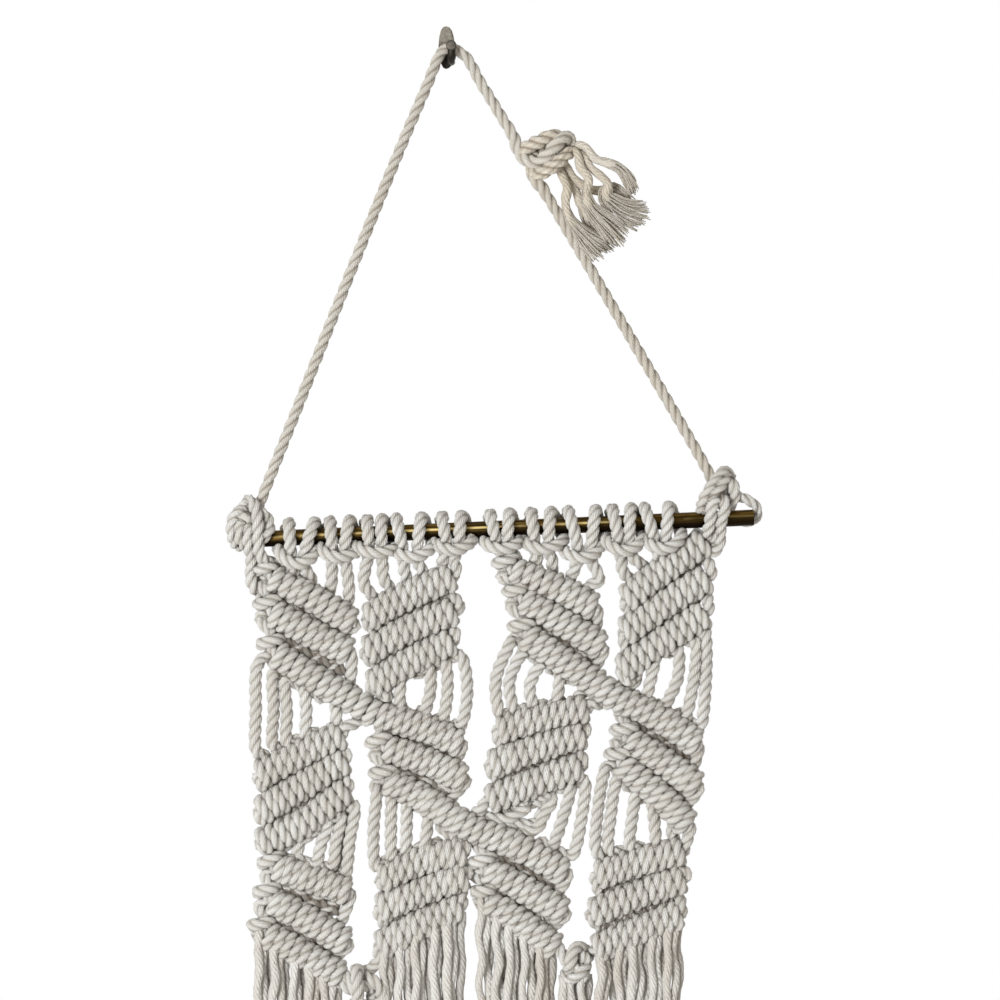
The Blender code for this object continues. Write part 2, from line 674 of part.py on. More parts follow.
def build():
    clear_scene()
    parts = bpy.data.collections.new("macrame_wall_hanging")
    bpy.context.scene.collection.children.link(parts)
    wall_hook(parts)
    brass_rod(parts)
    hanging_cord("left", HANGER_LEFT, parts)
    hanging_cord("right", HANGER_RIGHT, parts)
    tie_knot(parts)
    knotted_cords(parts)
    fringe("left", ("A3", "B3"), parts)
    fringe("right", ("C3", "D3"), parts)


build()
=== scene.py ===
"""Macrame wall hanging: laid cotton ropes, knotted on a brass rod that hangs from a wall hook.

Metres, +Z up, the wall at y = 0. Tables are in millimetres and are brought to metres by MM.
"""
import math
import random

import bmesh
import bpy
import numpy as np
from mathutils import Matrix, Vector
from mathutils.kdtree import KDTree


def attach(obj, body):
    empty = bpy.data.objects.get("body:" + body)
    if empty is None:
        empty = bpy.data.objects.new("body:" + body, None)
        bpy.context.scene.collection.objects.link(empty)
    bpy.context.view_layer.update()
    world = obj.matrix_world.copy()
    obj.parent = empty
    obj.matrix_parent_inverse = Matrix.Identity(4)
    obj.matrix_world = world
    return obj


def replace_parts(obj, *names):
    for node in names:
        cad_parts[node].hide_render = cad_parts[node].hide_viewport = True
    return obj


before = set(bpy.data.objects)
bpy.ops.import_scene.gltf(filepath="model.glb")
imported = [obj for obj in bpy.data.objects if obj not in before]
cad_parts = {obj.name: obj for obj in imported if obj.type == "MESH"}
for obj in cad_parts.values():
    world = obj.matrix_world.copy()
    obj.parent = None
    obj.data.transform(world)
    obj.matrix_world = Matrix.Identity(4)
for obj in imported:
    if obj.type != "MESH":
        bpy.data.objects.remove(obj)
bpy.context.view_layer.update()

# Camera --------------------------------------------------
# A long lens straight in front and level, aimed a little above the middle of the hanging, so
# that the hook is in view and the fringe runs out below.

MM = 0.001
PLANE_Y = -13.0                 # depth of the rod's axis and of the knotted rows
VIEW_WIDTH = 589.0              # width of the view at that depth
VIEW_CENTRE = (31.5, -267.4)
CAMERA_DISTANCE = 3000.0
SENSOR_WIDTH = 36.0

camera_data = bpy.data.cameras.new("camera")
camera_data.sensor_width = SENSOR_WIDTH
camera_data.lens = SENSOR_WIDTH * CAMERA_DISTANCE / VIEW_WIDTH
camera = bpy.data.objects.new("camera", camera_data)
bpy.context.scene.collection.objects.link(camera)
camera.location = Vector((VIEW_CENTRE[0], PLANE_Y - CAMERA_DISTANCE, VIEW_CENTRE[1])) * MM
camera.rotation_euler = (math.radians(90), 0, 0)
bpy.context.scene.camera = camera

# Light and floor -----------------------------------------
# A white room with a bright wall behind the hanging, a large soft light low at the left, a
# second one behind for the back, and a pale painted floor.

ROOM_TONE = (0.53, 0.51, 0.48, 1)
WALL_TONE = (1, 1, 1, 1)


def node(tree, kind, **values):
    """Adds a shader node. Values name its properties, and its inputs as in_Name or in_0. An
    input takes a value, an output to link, or a node, whose first output in use is linked."""
    made = tree.nodes.new("ShaderNode" + kind)
    for key, value in values.items():
        if not key.startswith("in_"):
            setattr(made, key, value)
            continue
        name = key[3:].replace("_", " ")
        socket = made.inputs[int(name) if name.isdigit() else name]
        if isinstance(value, bpy.types.Node):
            value = next(output for output in value.outputs if output.enabled)
        if isinstance(value, bpy.types.NodeSocket):
            tree.links.new(value, socket)
        else:
            socket.default_value = value
    return made


def mix(tree, share, first, second, way="MIX"):
    """A share from 0 to 1 of the second colour over the first."""
    return node(tree, "Mix", data_type="RGBA", blend_type=way, in_0=share, in_6=first,
                in_7=second)


def noise(tree, place, scale, detail, roughness=0.5):
    """A noise of so many cells in a metre."""
    return node(tree, "TexNoise", in_Vector=place, in_Scale=scale, in_Detail=detail,
                in_Roughness=roughness)


def rescale(tree, source, low, high, start=0.0, end=1.0):
    """A value brought from one range to another and held within it."""
    return node(tree, "MapRange", in_0=source, in_1=low, in_2=high, in_3=start, in_4=end)


def ramp(tree, source, *stops):
    """A colour ramp. Each stop is a place from 0 to 1 and a colour."""
    made = node(tree, "ValToRGB", in_Fac=source)
    first, *between, last = stops
    elements = made.color_ramp.elements
    for element, (place, colour) in zip(elements, (first, last)):
        element.position, element.color = place, (*colour, 1)
    for place, colour in between:
        elements.new(place).color = (*colour, 1)
    return made


world = bpy.data.worlds.new("white room")
world.use_nodes = True
sky = world.node_tree
heading = node(sky, "TexCoord").outputs["Generated"]
split = node(sky, "SeparateXYZ", in_Vector=heading)
wall_glow = rescale(sky, split.outputs["Y"], 0.90, 0.97)
wall_glow.interpolation_type = "SMOOTHSTEP"
room = mix(sky, wall_glow, ROOM_TONE, WALL_TONE)
sky.links.new(room.outputs[2], sky.nodes["Background"].inputs["Color"])
bpy.context.scene.world = world
bpy.context.scene.view_settings.view_transform = "Standard"


def soft_light(name, place, aim, size, watts, colour):
    """A round lamp of a size in metres, turned to a point."""
    data = bpy.data.lights.new(name, "AREA")
    data.shape, data.size, data.energy, data.color = "DISK", size, watts, colour
    light = bpy.data.objects.new(name, data)
    bpy.context.scene.collection.objects.link(light)
    light.location = place
    direction = Vector(aim) - Vector(place)
    light.rotation_euler = direction.to_track_quat("-Z", "Y").to_euler()


soft_light("key", (-2.0, -3.65, -0.45), (0.14, 0.0, -0.3), 1.4, 148.0, (0.96, 0.98, 1.0))
soft_light("back", (1.4, 3.6, 0.6), (0.03, 0.0, -0.4), 1.6, 70.0, (1.0, 1.0, 1.0))


def principled(name, roughness, metallic=0.0):
    """A new node material, its tree and its shader."""
    made = bpy.data.materials.new(name)
    made.use_nodes = True
    shader = made.node_tree.nodes["Principled BSDF"]
    shader.inputs["Roughness"].default_value = roughness
    shader.inputs["Metallic"].default_value = metallic
    return made, made.node_tree, shader


FLOOR_Z = -900.0
FLOOR_SIZE = 4.2                # in metres
bpy.ops.mesh.primitive_plane_add(size=FLOOR_SIZE, location=(0, 0, 0))
floor = bpy.context.object
floor.name = floor.data.name = "floor"
for vert in floor.data.vertices:
    vert.co.z = FLOOR_Z * MM
floor_paint, tree, shader = principled("floor paint", 0.8)
spread = node(tree, "Mapping", in_Location=(0.5, 0.5, 0.5),
              in_Vector=node(tree, "TexCoord").outputs["Object"],
              in_Scale=(1 / FLOOR_SIZE, 1 / FLOOR_SIZE, 0))
paint = ramp(tree, noise(tree, spread, 3.0, 4.0), (0, (0.80, 0.79, 0.77)), (1, (0.86, 0.85, 0.83)))
tree.links.new(paint.outputs["Color"], shader.inputs["Base Color"])
floor.data.materials.append(floor_paint)

# Laid rope -----------------------------------------------
# Every cord is a soft cotton rope of three plies laid together: a section of three lobes that
# turns once in LAY as it follows its route. Its cotton is matt, with fine yarns and lint.

LAY = 19.5
PLIES = 3
LOBE_STEPS = 6                  # points across one ply of the section
LOBE_OFFSET, LOBE_R = 0.42, 0.58    # a ply's place and size in a section of radius 1
RING_SPACING = 1.7
FINE_STEPS = 8                  # between two given points of a route
END_GROOVE = 0.6                # how dark a cut end is
CONTACT_REACH = 1.3             # how far off another cord its shade begins
PRESSED = 0.82                  # of a cord's radius, where its plies press into another
SAME_CORD = 2.6                 # radii along a cord within which it doesn't touch itself
rng = random.Random(41)


def smooth_route(points, spacing):
    """Evenly spaced points on one smooth curve through the given ones."""
    knots = np.array(points, dtype=float)
    keep = np.r_[True, np.linalg.norm(np.diff(knots, axis=0), axis=1) > 0.05]
    knots = knots[keep]
    steps = np.sqrt(np.linalg.norm(np.diff(knots, axis=0), axis=1))
    slopes = np.diff(knots, axis=0) / steps[:, None]
    tangents = np.empty_like(knots)
    tangents[0], tangents[-1] = slopes[0], slopes[-1]
    before, after = steps[:-1, None], steps[1:, None]
    tangents[1:-1] = (slopes[:-1] * after + slopes[1:] * before) / (before + after)
    t = np.linspace(0, 1, FINE_STEPS + 1)[:-1][None, :, None]
    start, end = knots[:-1, None], knots[1:, None]
    reach = steps[:, None, None]
    dense = ((2 * t**3 - 3 * t**2 + 1) * start
             + (t**3 - 2 * t**2 + t) * reach * tangents[:-1, None]
             + (3 * t**2 - 2 * t**3) * end + (t**3 - t**2) * reach * tangents[1:, None])
    dense = np.vstack([dense.reshape(-1, 3), knots[-1:]])
    along = np.r_[0, np.cumsum(np.linalg.norm(np.diff(dense, axis=0), axis=1))]
    count = max(3, int(round(along[-1] / spacing)) + 1)
    even = np.linspace(0, along[-1], count)
    return np.stack([np.interp(even, along, dense[:, axis]) for axis in range(3)], axis=1), even


def carried_frames(route):
    """Two directions square to the route at each point, carried along it without twist."""
    tangents = np.gradient(route, axis=0)
    tangents /= np.linalg.norm(tangents, axis=1)[:, None]
    side = np.cross(tangents[0], (0.31, 0.87, 0.39))    # any direction that isn't its own
    sides = []
    for tangent in tangents:
        side = side - tangent * np.dot(side, tangent)
        side = side / np.linalg.norm(side)
        sides.append(side)
    sides = np.array(sides)
    return sides, np.cross(tangents, sides)


def lobed_section():
    """Radius and groove mask round a three-ply section whose outer radius is 1."""
    angles = np.arange(PLIES * LOBE_STEPS) / LOBE_STEPS
    within = (angles - np.floor(angles) - 0.5) * 2 * np.pi / PLIES
    sideways = LOBE_OFFSET * np.sin(within)
    radii = LOBE_OFFSET * np.cos(within) + np.sqrt(LOBE_R**2 - sideways**2)
    return radii, (1.0 - radii) / (1.0 - radii.min())


class Bundle:
    """Points, faces and surface data of the cords that make up one piece."""

    def __init__(self):
        self.points, self.faces, self.uvs, self.grooves, self.tones = [], [], [], [], []
        self.contacts, self.routes, self.count = [], [], 0

    def add_tube(self, route, even, section, grooves, radii, turns, tone, loose=False,
                 sunk=0.0):
        """Sweeps a section along a route; turns is its rotation at each ring, in radians.
        A loose yarn takes no part in the contacts, and the front of a sunk cord gets painted
        shade."""
        sides, ups = carried_frames(route)
        rings, steps = len(route), len(section)
        around = np.arange(steps) * 2 * np.pi / steps
        angles = around[None, :] + turns[:, None]
        reach = section[None, :] * radii[:, None]
        points = (route[:, None] + (reach * np.cos(angles))[..., None] * sides[:, None]
                  + (reach * np.sin(angles))[..., None] * ups[:, None])
        ends = np.array([route[0], route[-1]])
        self.points.append(np.vstack([points.reshape(-1, 3), ends]))
        self.grooves.append(np.r_[np.tile(grooves, rings), END_GROOVE, END_GROOVE])
        self.tones.append(np.full(rings * steps + 2, tone))
        self.routes.append((points, route, even, radii, loose, sunk))
        ring, step = np.meshgrid(np.arange(rings - 1), np.arange(steps), indexing="ij")
        ahead = (step + 1) % steps
        quads = np.stack([ring * steps + step, ring * steps + ahead,
                          (ring + 1) * steps + ahead, (ring + 1) * steps + step], axis=-1)
        self.faces += (quads.reshape(-1, 4) + self.count).tolist()
        low, high = even[ring] * MM, even[ring + 1] * MM
        left, right = step / steps, (step + 1) / steps
        corners = np.stack([low, left, low, right, high, right, high, left], axis=-1)
        self.uvs.append(corners.reshape(-1, 2))
        first = self.count + rings * steps
        last_ring = self.count + (rings - 1) * steps
        for index in range(steps):
            following = (index + 1) % steps
            self.faces.append([self.count + following, self.count + index, first])
            self.faces.append([last_ring + index, last_ring + following, first + 1])
        cap = np.zeros((steps, 2, 3, 2))
        cap[..., 0] = even[0] * MM
        cap[..., 1] = (np.arange(steps) / steps)[:, None, None]
        self.uvs.append(cap.reshape(-1, 2))
        self.count += rings * steps + 2

    def add_rope(self, points, radius, lay=LAY, slim=None, tone=None, sunk=0.0):
        """One laid rope along a route. slim gives radius factors at shares of its length."""
        route, even = smooth_route(points, RING_SPACING)
        section, grooves = lobed_section()
        radii = np.full(len(route), radius)
        if slim is not None:
            radii = radii * np.interp(np.linspace(0, 1, len(route)), *zip(*slim))
        turns = rng.uniform(0, 2 * np.pi) + 2 * np.pi * even / lay
        shade = rng.random() if tone is None else tone
        self.add_tube(route, even, section, grooves, radii, turns, shade, sunk=sunk)

    def find_contacts(self):
        """Marks the surface that lies in or close to another cord, from 0 to 1, for painted shade;
        the front of a sunk cord is marked too.
        """
        solid = [(owner, *item[1:4]) for owner, item in enumerate(self.routes) if not item[4]]
        owners = np.concatenate([np.full(len(route), owner) for owner, route, _, _ in solid])
        centres = np.concatenate([route for _, route, _, _ in solid])
        places = np.concatenate([even for _, _, even, _ in solid])
        sizes = np.concatenate([radii for *_, radii in solid])
        tree = KDTree(len(centres))
        for index, centre in enumerate(centres):
            tree.insert(centre, index)
        tree.balance()
        for owner, (points, route, even, radii, loose, sunk) in enumerate(self.routes):
            marks = np.zeros(points.shape[:2])
            for ring, (centre, place, size) in enumerate(zip(route, even, radii)):
                if loose:
                    break
                near = tree.find_range(centre, 2 * size + CONTACT_REACH)
                found = np.array([item[1] for item in near])
                far_along = np.abs(places[found] - place) > SAME_CORD * size
                found = found[(owners[found] != owner) | far_along]
                if len(found) == 0:
                    continue
                gaps = np.linalg.norm(points[ring][:, None] - centres[found][None], axis=2)
                nearest = (gaps - PRESSED * sizes[found][None]).min(axis=1)
                marks[ring] = np.clip(1 - nearest / CONTACT_REACH, 0, 1)
            in_front = points[..., 1] < route[:, None, 1]
            marks = np.maximum(marks, sunk * in_front)
            self.contacts.append(np.r_[marks.ravel(), 0.0, 0.0])

    def make(self, name, material, slot):
        """The cords as one piece that rides root."""
        self.find_contacts()
        mesh = bpy.data.meshes.new(name)
        mesh.from_pydata((np.vstack(self.points) * MM).tolist(), [], self.faces)
        layer = mesh.uv_layers.new(name="UVMap")
        layer.data.foreach_set("uv", np.vstack(self.uvs).astype(np.float32).ravel())
        for label, values in (("groove", self.grooves), ("tone", self.tones),
                              ("contact", self.contacts)):
            attribute = mesh.attributes.new(label, "FLOAT", "POINT")
            attribute.data.foreach_set("value", np.concatenate(values).astype(np.float32))
        mesh.shade_smooth()
        mesh.materials.append(material)
        piece = bpy.data.objects.new(name, mesh)
        bpy.context.scene.collection.objects.link(piece)
        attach(piece, "root")
        return piece


def maths(tree, operation, *inputs, kind="Math"):
    """A math node, its inputs in order."""
    return node(tree, kind, operation=operation,
                **{f"in_{index}": value for index, value in enumerate(inputs)})


def make_laid_cotton():
    """The cotton's look, shared by every cord: a colour that drifts, with painted shade in the
    grooves and between cords, and a normal that follows its fibres, yarns and lint."""
    group = bpy.data.node_groups.new("laid cotton", "ShaderNodeTree")
    for way, kind, names in (("INPUT", "Color", ("Light", "Warm", "Deep")),
                             ("INPUT", "Vector", ("Yarns",)),
                             ("OUTPUT", "Color", ("Colour",)),
                             ("OUTPUT", "Vector", ("Normal",))):
        for name in names:
            group.interface.new_socket(name, in_out=way, socket_type="NodeSocket" + kind)
    given = group.nodes.new("NodeGroupInput").outputs
    place = node(group, "TexCoord").outputs
    groove, tone, contact = [
        node(group, "Attribute", attribute_name=name).outputs["Fac"]
        for name in ("groove", "tone", "contact")]
    drift = noise(group, place["Object"], 38.0, 3.0)
    warmth = rescale(group, maths(group, "MULTIPLY_ADD", tone, 0.45, drift), 0.4, 1.0)
    tones = mix(group, warmth, given["Light"], given["Warm"])
    # Painted shade: the deep tone darkens each ply's grooves.
    shade = mix(group, maths(group, "POWER", groove, 2.0), tones, given["Deep"])
    # Fibres run along each ply at a slant, and lint breaks them up.
    slant = node(group, "Mapping", in_Vector=place["UV"], in_Rotation=(0, 0, 0.5),
                 in_Scale=(150.0, 39.0, 1.0))
    fibres = noise(group, slant, 1.0, 2.0)
    lint = noise(group, place["Object"], 750.0, 4.0, 0.75)
    rough = maths(group, "MULTIPLY_ADD", lint, 1.2, fibres)
    # Yarns wind round each ply, so many in a metre along it and so many round it.
    turns = node(group, "VectorMath", operation="SCALE", in_0=given["Yarns"], in_3=math.tau)
    wound = maths(group, "DOT_PRODUCT", place["UV"], turns, kind="VectorMath")
    yarns = maths(group, "SINE", maths(group, "MULTIPLY_ADD", lint, 5.0, wound))
    bump = node(group, "Bump", in_Strength=0.8, in_Distance=0.0009,
                in_Height=maths(group, "MULTIPLY_ADD", yarns, 0.28, rough))
    # Flecks of shade lie between fibres and yarns, and deep shade where cords meet.
    fuzz = node(group, "Mix", in_0=0.55, in_2=fibres, in_3=lint)
    between = ramp(group, maths(group, "MULTIPLY_ADD", yarns, 0.05, fuzz),
                   (0.36, (0.62, 0.59, 0.55)), (0.6, (1, 1, 1)))
    flecks = mix(group, 0.6, shade, between, "MULTIPLY")
    shadow = mix(group, maths(group, "POWER", contact, 1.7), flecks, (0.16, 0.12, 0.08, 1),
                 "MULTIPLY")
    result = group.nodes.new("NodeGroupOutput")
    group.links.new(shadow.outputs[2], result.inputs["Colour"])
    group.links.new(bump.outputs["Normal"], result.inputs["Normal"])
    return group


laid_cotton = make_laid_cotton()


def cotton(name, light, warm, deep, yarns_round, yarns_along):
    """A soft matt cotton: light and warm tones, a deep one for painted groove shade, and its yarns
    counted round a cord and along a metre.
    """
    made, tree, shader = principled(name, 0.92)
    shader.inputs["Sheen Weight"].default_value = 0.25
    shader.inputs["Sheen Roughness"].default_value = 0.6
    shader.inputs["Specular IOR Level"].default_value = 0.15
    look = node(tree, "Group", node_tree=laid_cotton, in_Light=(*light, 1),
                in_Warm=(*warm, 1), in_Deep=(*deep, 1), in_Yarns=(yarns_along, yarns_round, 0))
    tree.links.new(look.outputs["Colour"], shader.inputs["Base Color"])
    tree.links.new(look.outputs["Normal"], shader.inputs["Normal"])
    return made


rope_cotton = cotton("rope cotton", (0.82, 0.79, 0.73), (0.73, 0.68, 0.59), (0.36, 0.31, 0.24),
                     18, 850)
tie_cotton = cotton("tie cotton", (0.84, 0.79, 0.705), (0.70, 0.625, 0.51),
                    (0.30, 0.235, 0.16), 7, 420)
knot_cotton = cotton("knot cotton", (0.90, 0.89, 0.86), (0.79, 0.765, 0.715),
                     (0.42, 0.38, 0.32), 18, 850)
fringe_cotton = cotton("fringe cotton", (0.87, 0.86, 0.83), (0.70, 0.66, 0.60),
                       (0.40, 0.35, 0.28), 7, 380)

# Hanging rope --------------------------------------------
# One cotton rope that carries the rod: up from the knot at the rod's left, behind the round
# head of the hook's prong, and down through the tie knot to the rod's right.

TAUT_R, TAUT_LAY = 3.45, 24.0   # the rope is thinner and its lay longer where it is under load

left_leg = Bundle()
left_leg.add_rope([
    (-112.1, -9, -279), (-111.2, -12, -273.7), (-109.8, -14, -269.4), (-84, -14, -203.5),
    (-57, -13.5, -134.5), (-30, -12.5, -67), (-17.5, -11, -37), (-10.4, -9.8, -20.3),
    (-6.6, -9.2, -10.5), (-3.2, -9, -3.6), (1, -9, -1.1), (6.2, -9, -2.3),
    (11.2, -9.3, -5.9), (14.9, -9.8, -11.4), (19.3, -10.6, -20), (26, -12, -31),
    (33.5, -13.2, -43.5), (39, -13.5, -52.5), (42.2, -14, -61), (46.8, -16, -67),
    (52.6, -19, -68.9), (59.5, -23, -64.9), (66.2, -23.5, -57.2), (71, -19.5, -54.3),
    (72.8, -14, -57.8), (71.7, -10, -62.7)], TAUT_R, TAUT_LAY,
    slim=((0, 1), (0.83, 1), (0.89, 1.25), (1, 1.25)))
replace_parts(left_leg.make("hanging_rope_left", rope_cotton, "rope"), "hanging_cord_left")

right_leg = Bundle()
right_leg.add_rope([
    (56.4, -9, -69.8), (52.3, -11, -70.9), (51, -15.5, -76.3), (56.4, -15.5, -84),
    (70, -14, -106.5), (88, -14, -137), (122, -14.2, -195), (150, -15, -243.4),
    (154.6, -14, -252), (158, -11, -260.2)], TAUT_R, TAUT_LAY,
    slim=((0, 1.25), (0.08, 1.22), (0.13, 1), (1, 1)))
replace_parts(right_leg.make("hanging_rope_right", rope_cotton, "rope"), "hanging_cord_right")

# Tie knot ------------------------------------------------
# The rope's two ends tied round each other, with six plies left loose from their tails. The
# plies' ends have come apart into fans of yarns.

TIE_ROPE_R = 4.6                # the rope swells where it is tied
TIE_TURNS = (
    ((49.5, -8, -58.5), (56, -10, -62), (62, -12, -66), (66.5, -10, -71)),
    ((46.5, -9, -63.5), (53, -11.5, -66), (60, -12, -70.5)),
    ((43.9, -11.5, -65.4), (47.7, -17, -59.9), (54.8, -20.5, -56.7), (62.4, -19.5, -53.6),
     (67.1, -14, -55.6), (67.5, -9, -59.9)),
    ((73.3, -14, -59.9), (69.7, -20.5, -65.4), (63.5, -23.5, -70.9), (56.6, -22, -74.7),
     (52.3, -17, -75.2), (50.4, -12, -70.9)),
)
# Each ply's route and how far its yarns spread at the end.
TASSEL_PLIES = (
    (3.6, ((72.8, -14, -59.9), (77.7, -16, -58.9), (82, -18, -59.9), (87, -18, -66.5),
           (94.6, -18, -69.2), (101.1, -18, -71.9), (106.6, -18, -78.5), (111, -18, -89.4))),
    (9.5, ((73.9, -14, -61), (79.3, -17, -64.3), (84.8, -18, -71.9), (91.9, -18, -77.9),
           (95.1, -18, -81.8), (93.5, -17, -88.3), (99, -17, -93.8), (107.7, -17, -98.2),
           (121.5, -17, -102))),
    (8, ((72.8, -16, -61), (77.1, -20, -64.3), (78.8, -21, -71.9), (83.5, -21, -79),
           (82.4, -20, -88.3), (84.8, -20, -95.9), (93.5, -19, -104.7), (106.6, -19, -117.8))),
    (8.5, ((66.2, -13, -71.9), (68.6, -14, -77.4), (71.1, -15, -83.9), (70, -15, -91.6),
           (71.7, -15, -100.3), (79.3, -15, -111.2), (94.6, -16, -125.4))),
    (4.5, ((69.5, -11, -69.8), (75, -10, -77.4), (83.7, -9.5, -83.9), (91.3, -9.5, -85),
           (97.9, -10, -83.9), (104.4, -11, -89.4), (111, -12, -95.9))),
    (7.5, ((68.4, -9, -70.9), (75, -8.5, -81.8), (78.2, -9, -90.5), (81.5, -9, -98.1),
           (88, -10, -109), (101.1, -11, -119.9))),
)
TASSEL_PLY_R, TASSEL_BODY = 2.7, 0.62   # a ply's radius, and the share of it left whole
YARNS, YARN_R = 38, (0.42, 0.6)
FRAY_STARTS, FRAY_ENDS = (0.36, 0.52), (0.93, 1.0)  # of a ply, where its yarns part and end


def add_ply(bundle, points, radius, spacing=3.0, tip=0.55, sunk=0.0):
    """One soft ply laid open from a rope: a plain round strand, thinner at its end."""
    route, even = smooth_route(points, spacing)
    steps = 10
    shares = np.linspace(0, 1, len(route))
    radii = radius * np.interp(shares, (0, 0.9, 1), (1, 0.95, tip))
    radii = radii * (1 + 0.07 * np.sin(even * 0.55 + rng.uniform(0, 6)))
    section = 1 + 0.07 * np.cos(2 * np.arange(steps) * 2 * np.pi / steps)
    turns = rng.uniform(0, 6) + even * 0.12
    bundle.add_tube(route, even, section, np.zeros(steps), radii, turns, rng.random(),
                    sunk=sunk)


def add_frayed_ply(bundle, points, spread):
    """A ply whose end has come apart into a fan of yarns."""
    core, even = smooth_route(points, 1.2)
    ahead = np.gradient(core, axis=0)
    ahead /= np.linalg.norm(ahead, axis=1)[:, None]
    across = np.stack([-ahead[:, 2], np.zeros(len(core)), ahead[:, 0]], axis=1)
    across /= np.linalg.norm(across, axis=1)[:, None]
    add_ply(bundle, core[:int(len(core) * TASSEL_BODY)], TASSEL_PLY_R, 1.6, 0.6)
    for index in range(YARNS):
        place = (index + rng.uniform(0.1, 0.9)) / YARNS * 2 - 1
        start = rng.uniform(*FRAY_STARTS)
        stop = min(1.0, rng.uniform(*FRAY_ENDS) - 0.10 * place**2)
        chosen = np.arange(int(start * len(core)), int(stop * len(core)), 2)
        share = np.clip((chosen / len(core) - start) / (1 - start), 0, 1)
        wave = 0.35 * np.sin(share * rng.uniform(6, 12) + rng.uniform(0, 6))
        side = place * (2.1 + (1.3 * spread - 2.1) * share) + wave
        round_off = math.sqrt(max(0.0, 1 - place**2))
        front = rng.uniform(-1, 1) * round_off * (2.2 - 0.6 * share) + 0.5 * wave
        route = core[chosen] + across[chosen] * side[:, None]
        route[:, 1] += front
        steps = 5
        radii = np.full(len(route), rng.uniform(*YARN_R))
        radii[-2:] *= (0.85, 0.5)
        bundle.add_tube(route, even[chosen], np.ones(steps), np.zeros(steps), radii,
                        np.zeros(len(route)), rng.random(), loose=True)


tie = Bundle()
for turn in TIE_TURNS:
    tie.add_rope(turn, TIE_ROPE_R)
for spread, ply in TASSEL_PLIES:
    add_frayed_ply(tie, ply, spread)
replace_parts(tie.make("tie_knot_and_tassel", tie_cotton, "rope"), "tie_knot")

# Rows of hitches -----------------------------------------
# Each leaf is three rows of five double half hitches, each row round one holding cord. A row
# that falls to the right is led by its leftmost cord, the others by their rightmost, and that
# cord ties the last hitch of the next row.

ROW_COLUMNS = ("left_x", "left_z", "right_x", "right_z", "bow")
ROWS = {
    "A1": ((-108.3, -311, -55, -340, 1.9), (-107.5, -331.5, -57, -357, 0.0),
           (-106, -354.5, -53, -386.4, -0.8)),
    "B1": ((-46, -337, 3, -313, 1.8), (-47, -357, 5, -333, 1.9), (-44, -377, 3, -351, 1.5)),
    "C1": ((33.5, -307.5, 87.5, -331, 2.0), (39, -323.5, 91.5, -354, 1.3),
           (42, -344.5, 90.7, -377, 0)),
    "D1": ((106, -326.5, 152.5, -292, 1.5), (105, -345.5, 153.5, -313.5, 1.2),
           (103, -367.5, 152, -334.5, 0.3)),
    "A2": ((-110, -429.5, -62, -406, 0.6), (-110, -450.8, -60, -420.5, 0.0),
           (-109.5, -469.5, -59, -437.5, -3.5)),
    "B2": ((-40.6, -394.6, 8, -411, 2.2), (-41, -413, 10, -431.5, 2.4),
           (-39.5, -431.1, 4.7, -455.3, 1.8)),
    "C2": ((31, -403, 82, -390.5, 1.1), (26.5, -423.5, 80.5, -405.5, 1.2),
           (25, -444, 79, -424.4, 0.4)),
    "D2": ((101, -384.9, 147.5, -411.1, 3.0), (102.5, -406.5, 147.5, -436, 1.3),
           (98.5, -419.5, 142.5, -459, 1.8)),
    "A3": ((-105, -483, -58, -498, 1.1), (-108, -501, -59, -528, 0.8),
           (-111, -521, -62, -548, 0.9)),
    "B3": ((-38, -491, 10, -475, 3.0), (-39, -508, 11, -489, 0.7), (-39, -530, 8, -507, 0.8)),
    "C3": ((15.3, -461.2, 70.1, -487.1, 2.3), (19, -483, 69, -510, 0.7),
           (20, -501, 64, -531, 0.9)),
    "D3": ((89, -488.5, 138.5, -474.5, 0.9), (86, -511, 139.5, -490.5, 0.9),
           (88, -532, 137, -511.5, 0.6)),
}
HITCHES = 5
WRAP_HEIGHT = 5.7               # from the holding cord's axis to a wrap's, up and down
WRAP_FRONT = 5.2                # and to the front
WRAP_BACK = 4.4                 # behind, where cords enter and leave
WRAP_CROSSING = 8.2             # behind, where a hitch crosses over to its second wrap
WRAP_R = 3.95
ENTRY_RISE, ENTRY_BACK = 2.5, 3.2   # over the wraps and behind, where a cord comes and goes
HITCH_STRAY = 0.007             # of a row's length
STEEP_REACH, STEEP_RISE = 0.15, 4.5
EDGE_RISE, EDGE_FRONT = 2.6, 1.0    # where a leader turns into a row
EDGE_TURN = 2.5                 # and how far it stands out there
WIDE_TURNS = {"B1": 4.0, "D1": 4.6}
EDGE_DROP, EDGE_EXIT = 1.0, 1.8     # where it turns out of one
CROSSED = ("B2", "D2", "C3")    # leaves whose first leader arrives from the leaf beside

rows = {(leaf, number): dict(zip(ROW_COLUMNS, values))
        for leaf, three in ROWS.items() for number, values in enumerate(three, 1)}
falls = {leaf: rows[leaf, 1]["left_z"] > rows[leaf, 1]["right_z"] for leaf in ROWS}


def on_row(row, share, up=0.0, out=0.0, beyond=0.0):
    """A point by a row: at a share of its length, up square to it, out behind it. A falling
    row's holding cord comes down from above, so that its start is steep."""
    left = np.array((row["left_x"], 0.0, row["left_z"]))
    right = np.array((row["right_x"], 0.0, row["right_z"]))
    length = np.linalg.norm(right - left)
    along = (right - left) / length
    upward = np.array((-along[2], 0.0, along[0]))
    lift = row["bow"] * math.sin(math.pi * min(max(share, 0.0), 1.0))
    centre = left + (right - left) * share + upward * lift
    if row.get("steep") and share < STEEP_REACH:
        away = 1 - share / STEEP_REACH
        centre = centre + upward * (STEEP_RISE * away**2)
        slope = 2 * STEEP_RISE * away / STEEP_REACH / length
        along, upward = along - upward * slope, upward + along * slope
        along, upward = along / np.linalg.norm(along), upward / np.linalg.norm(upward)
    return centre + upward * up + along * beyond + np.array((0, PLANE_Y + out, 0))


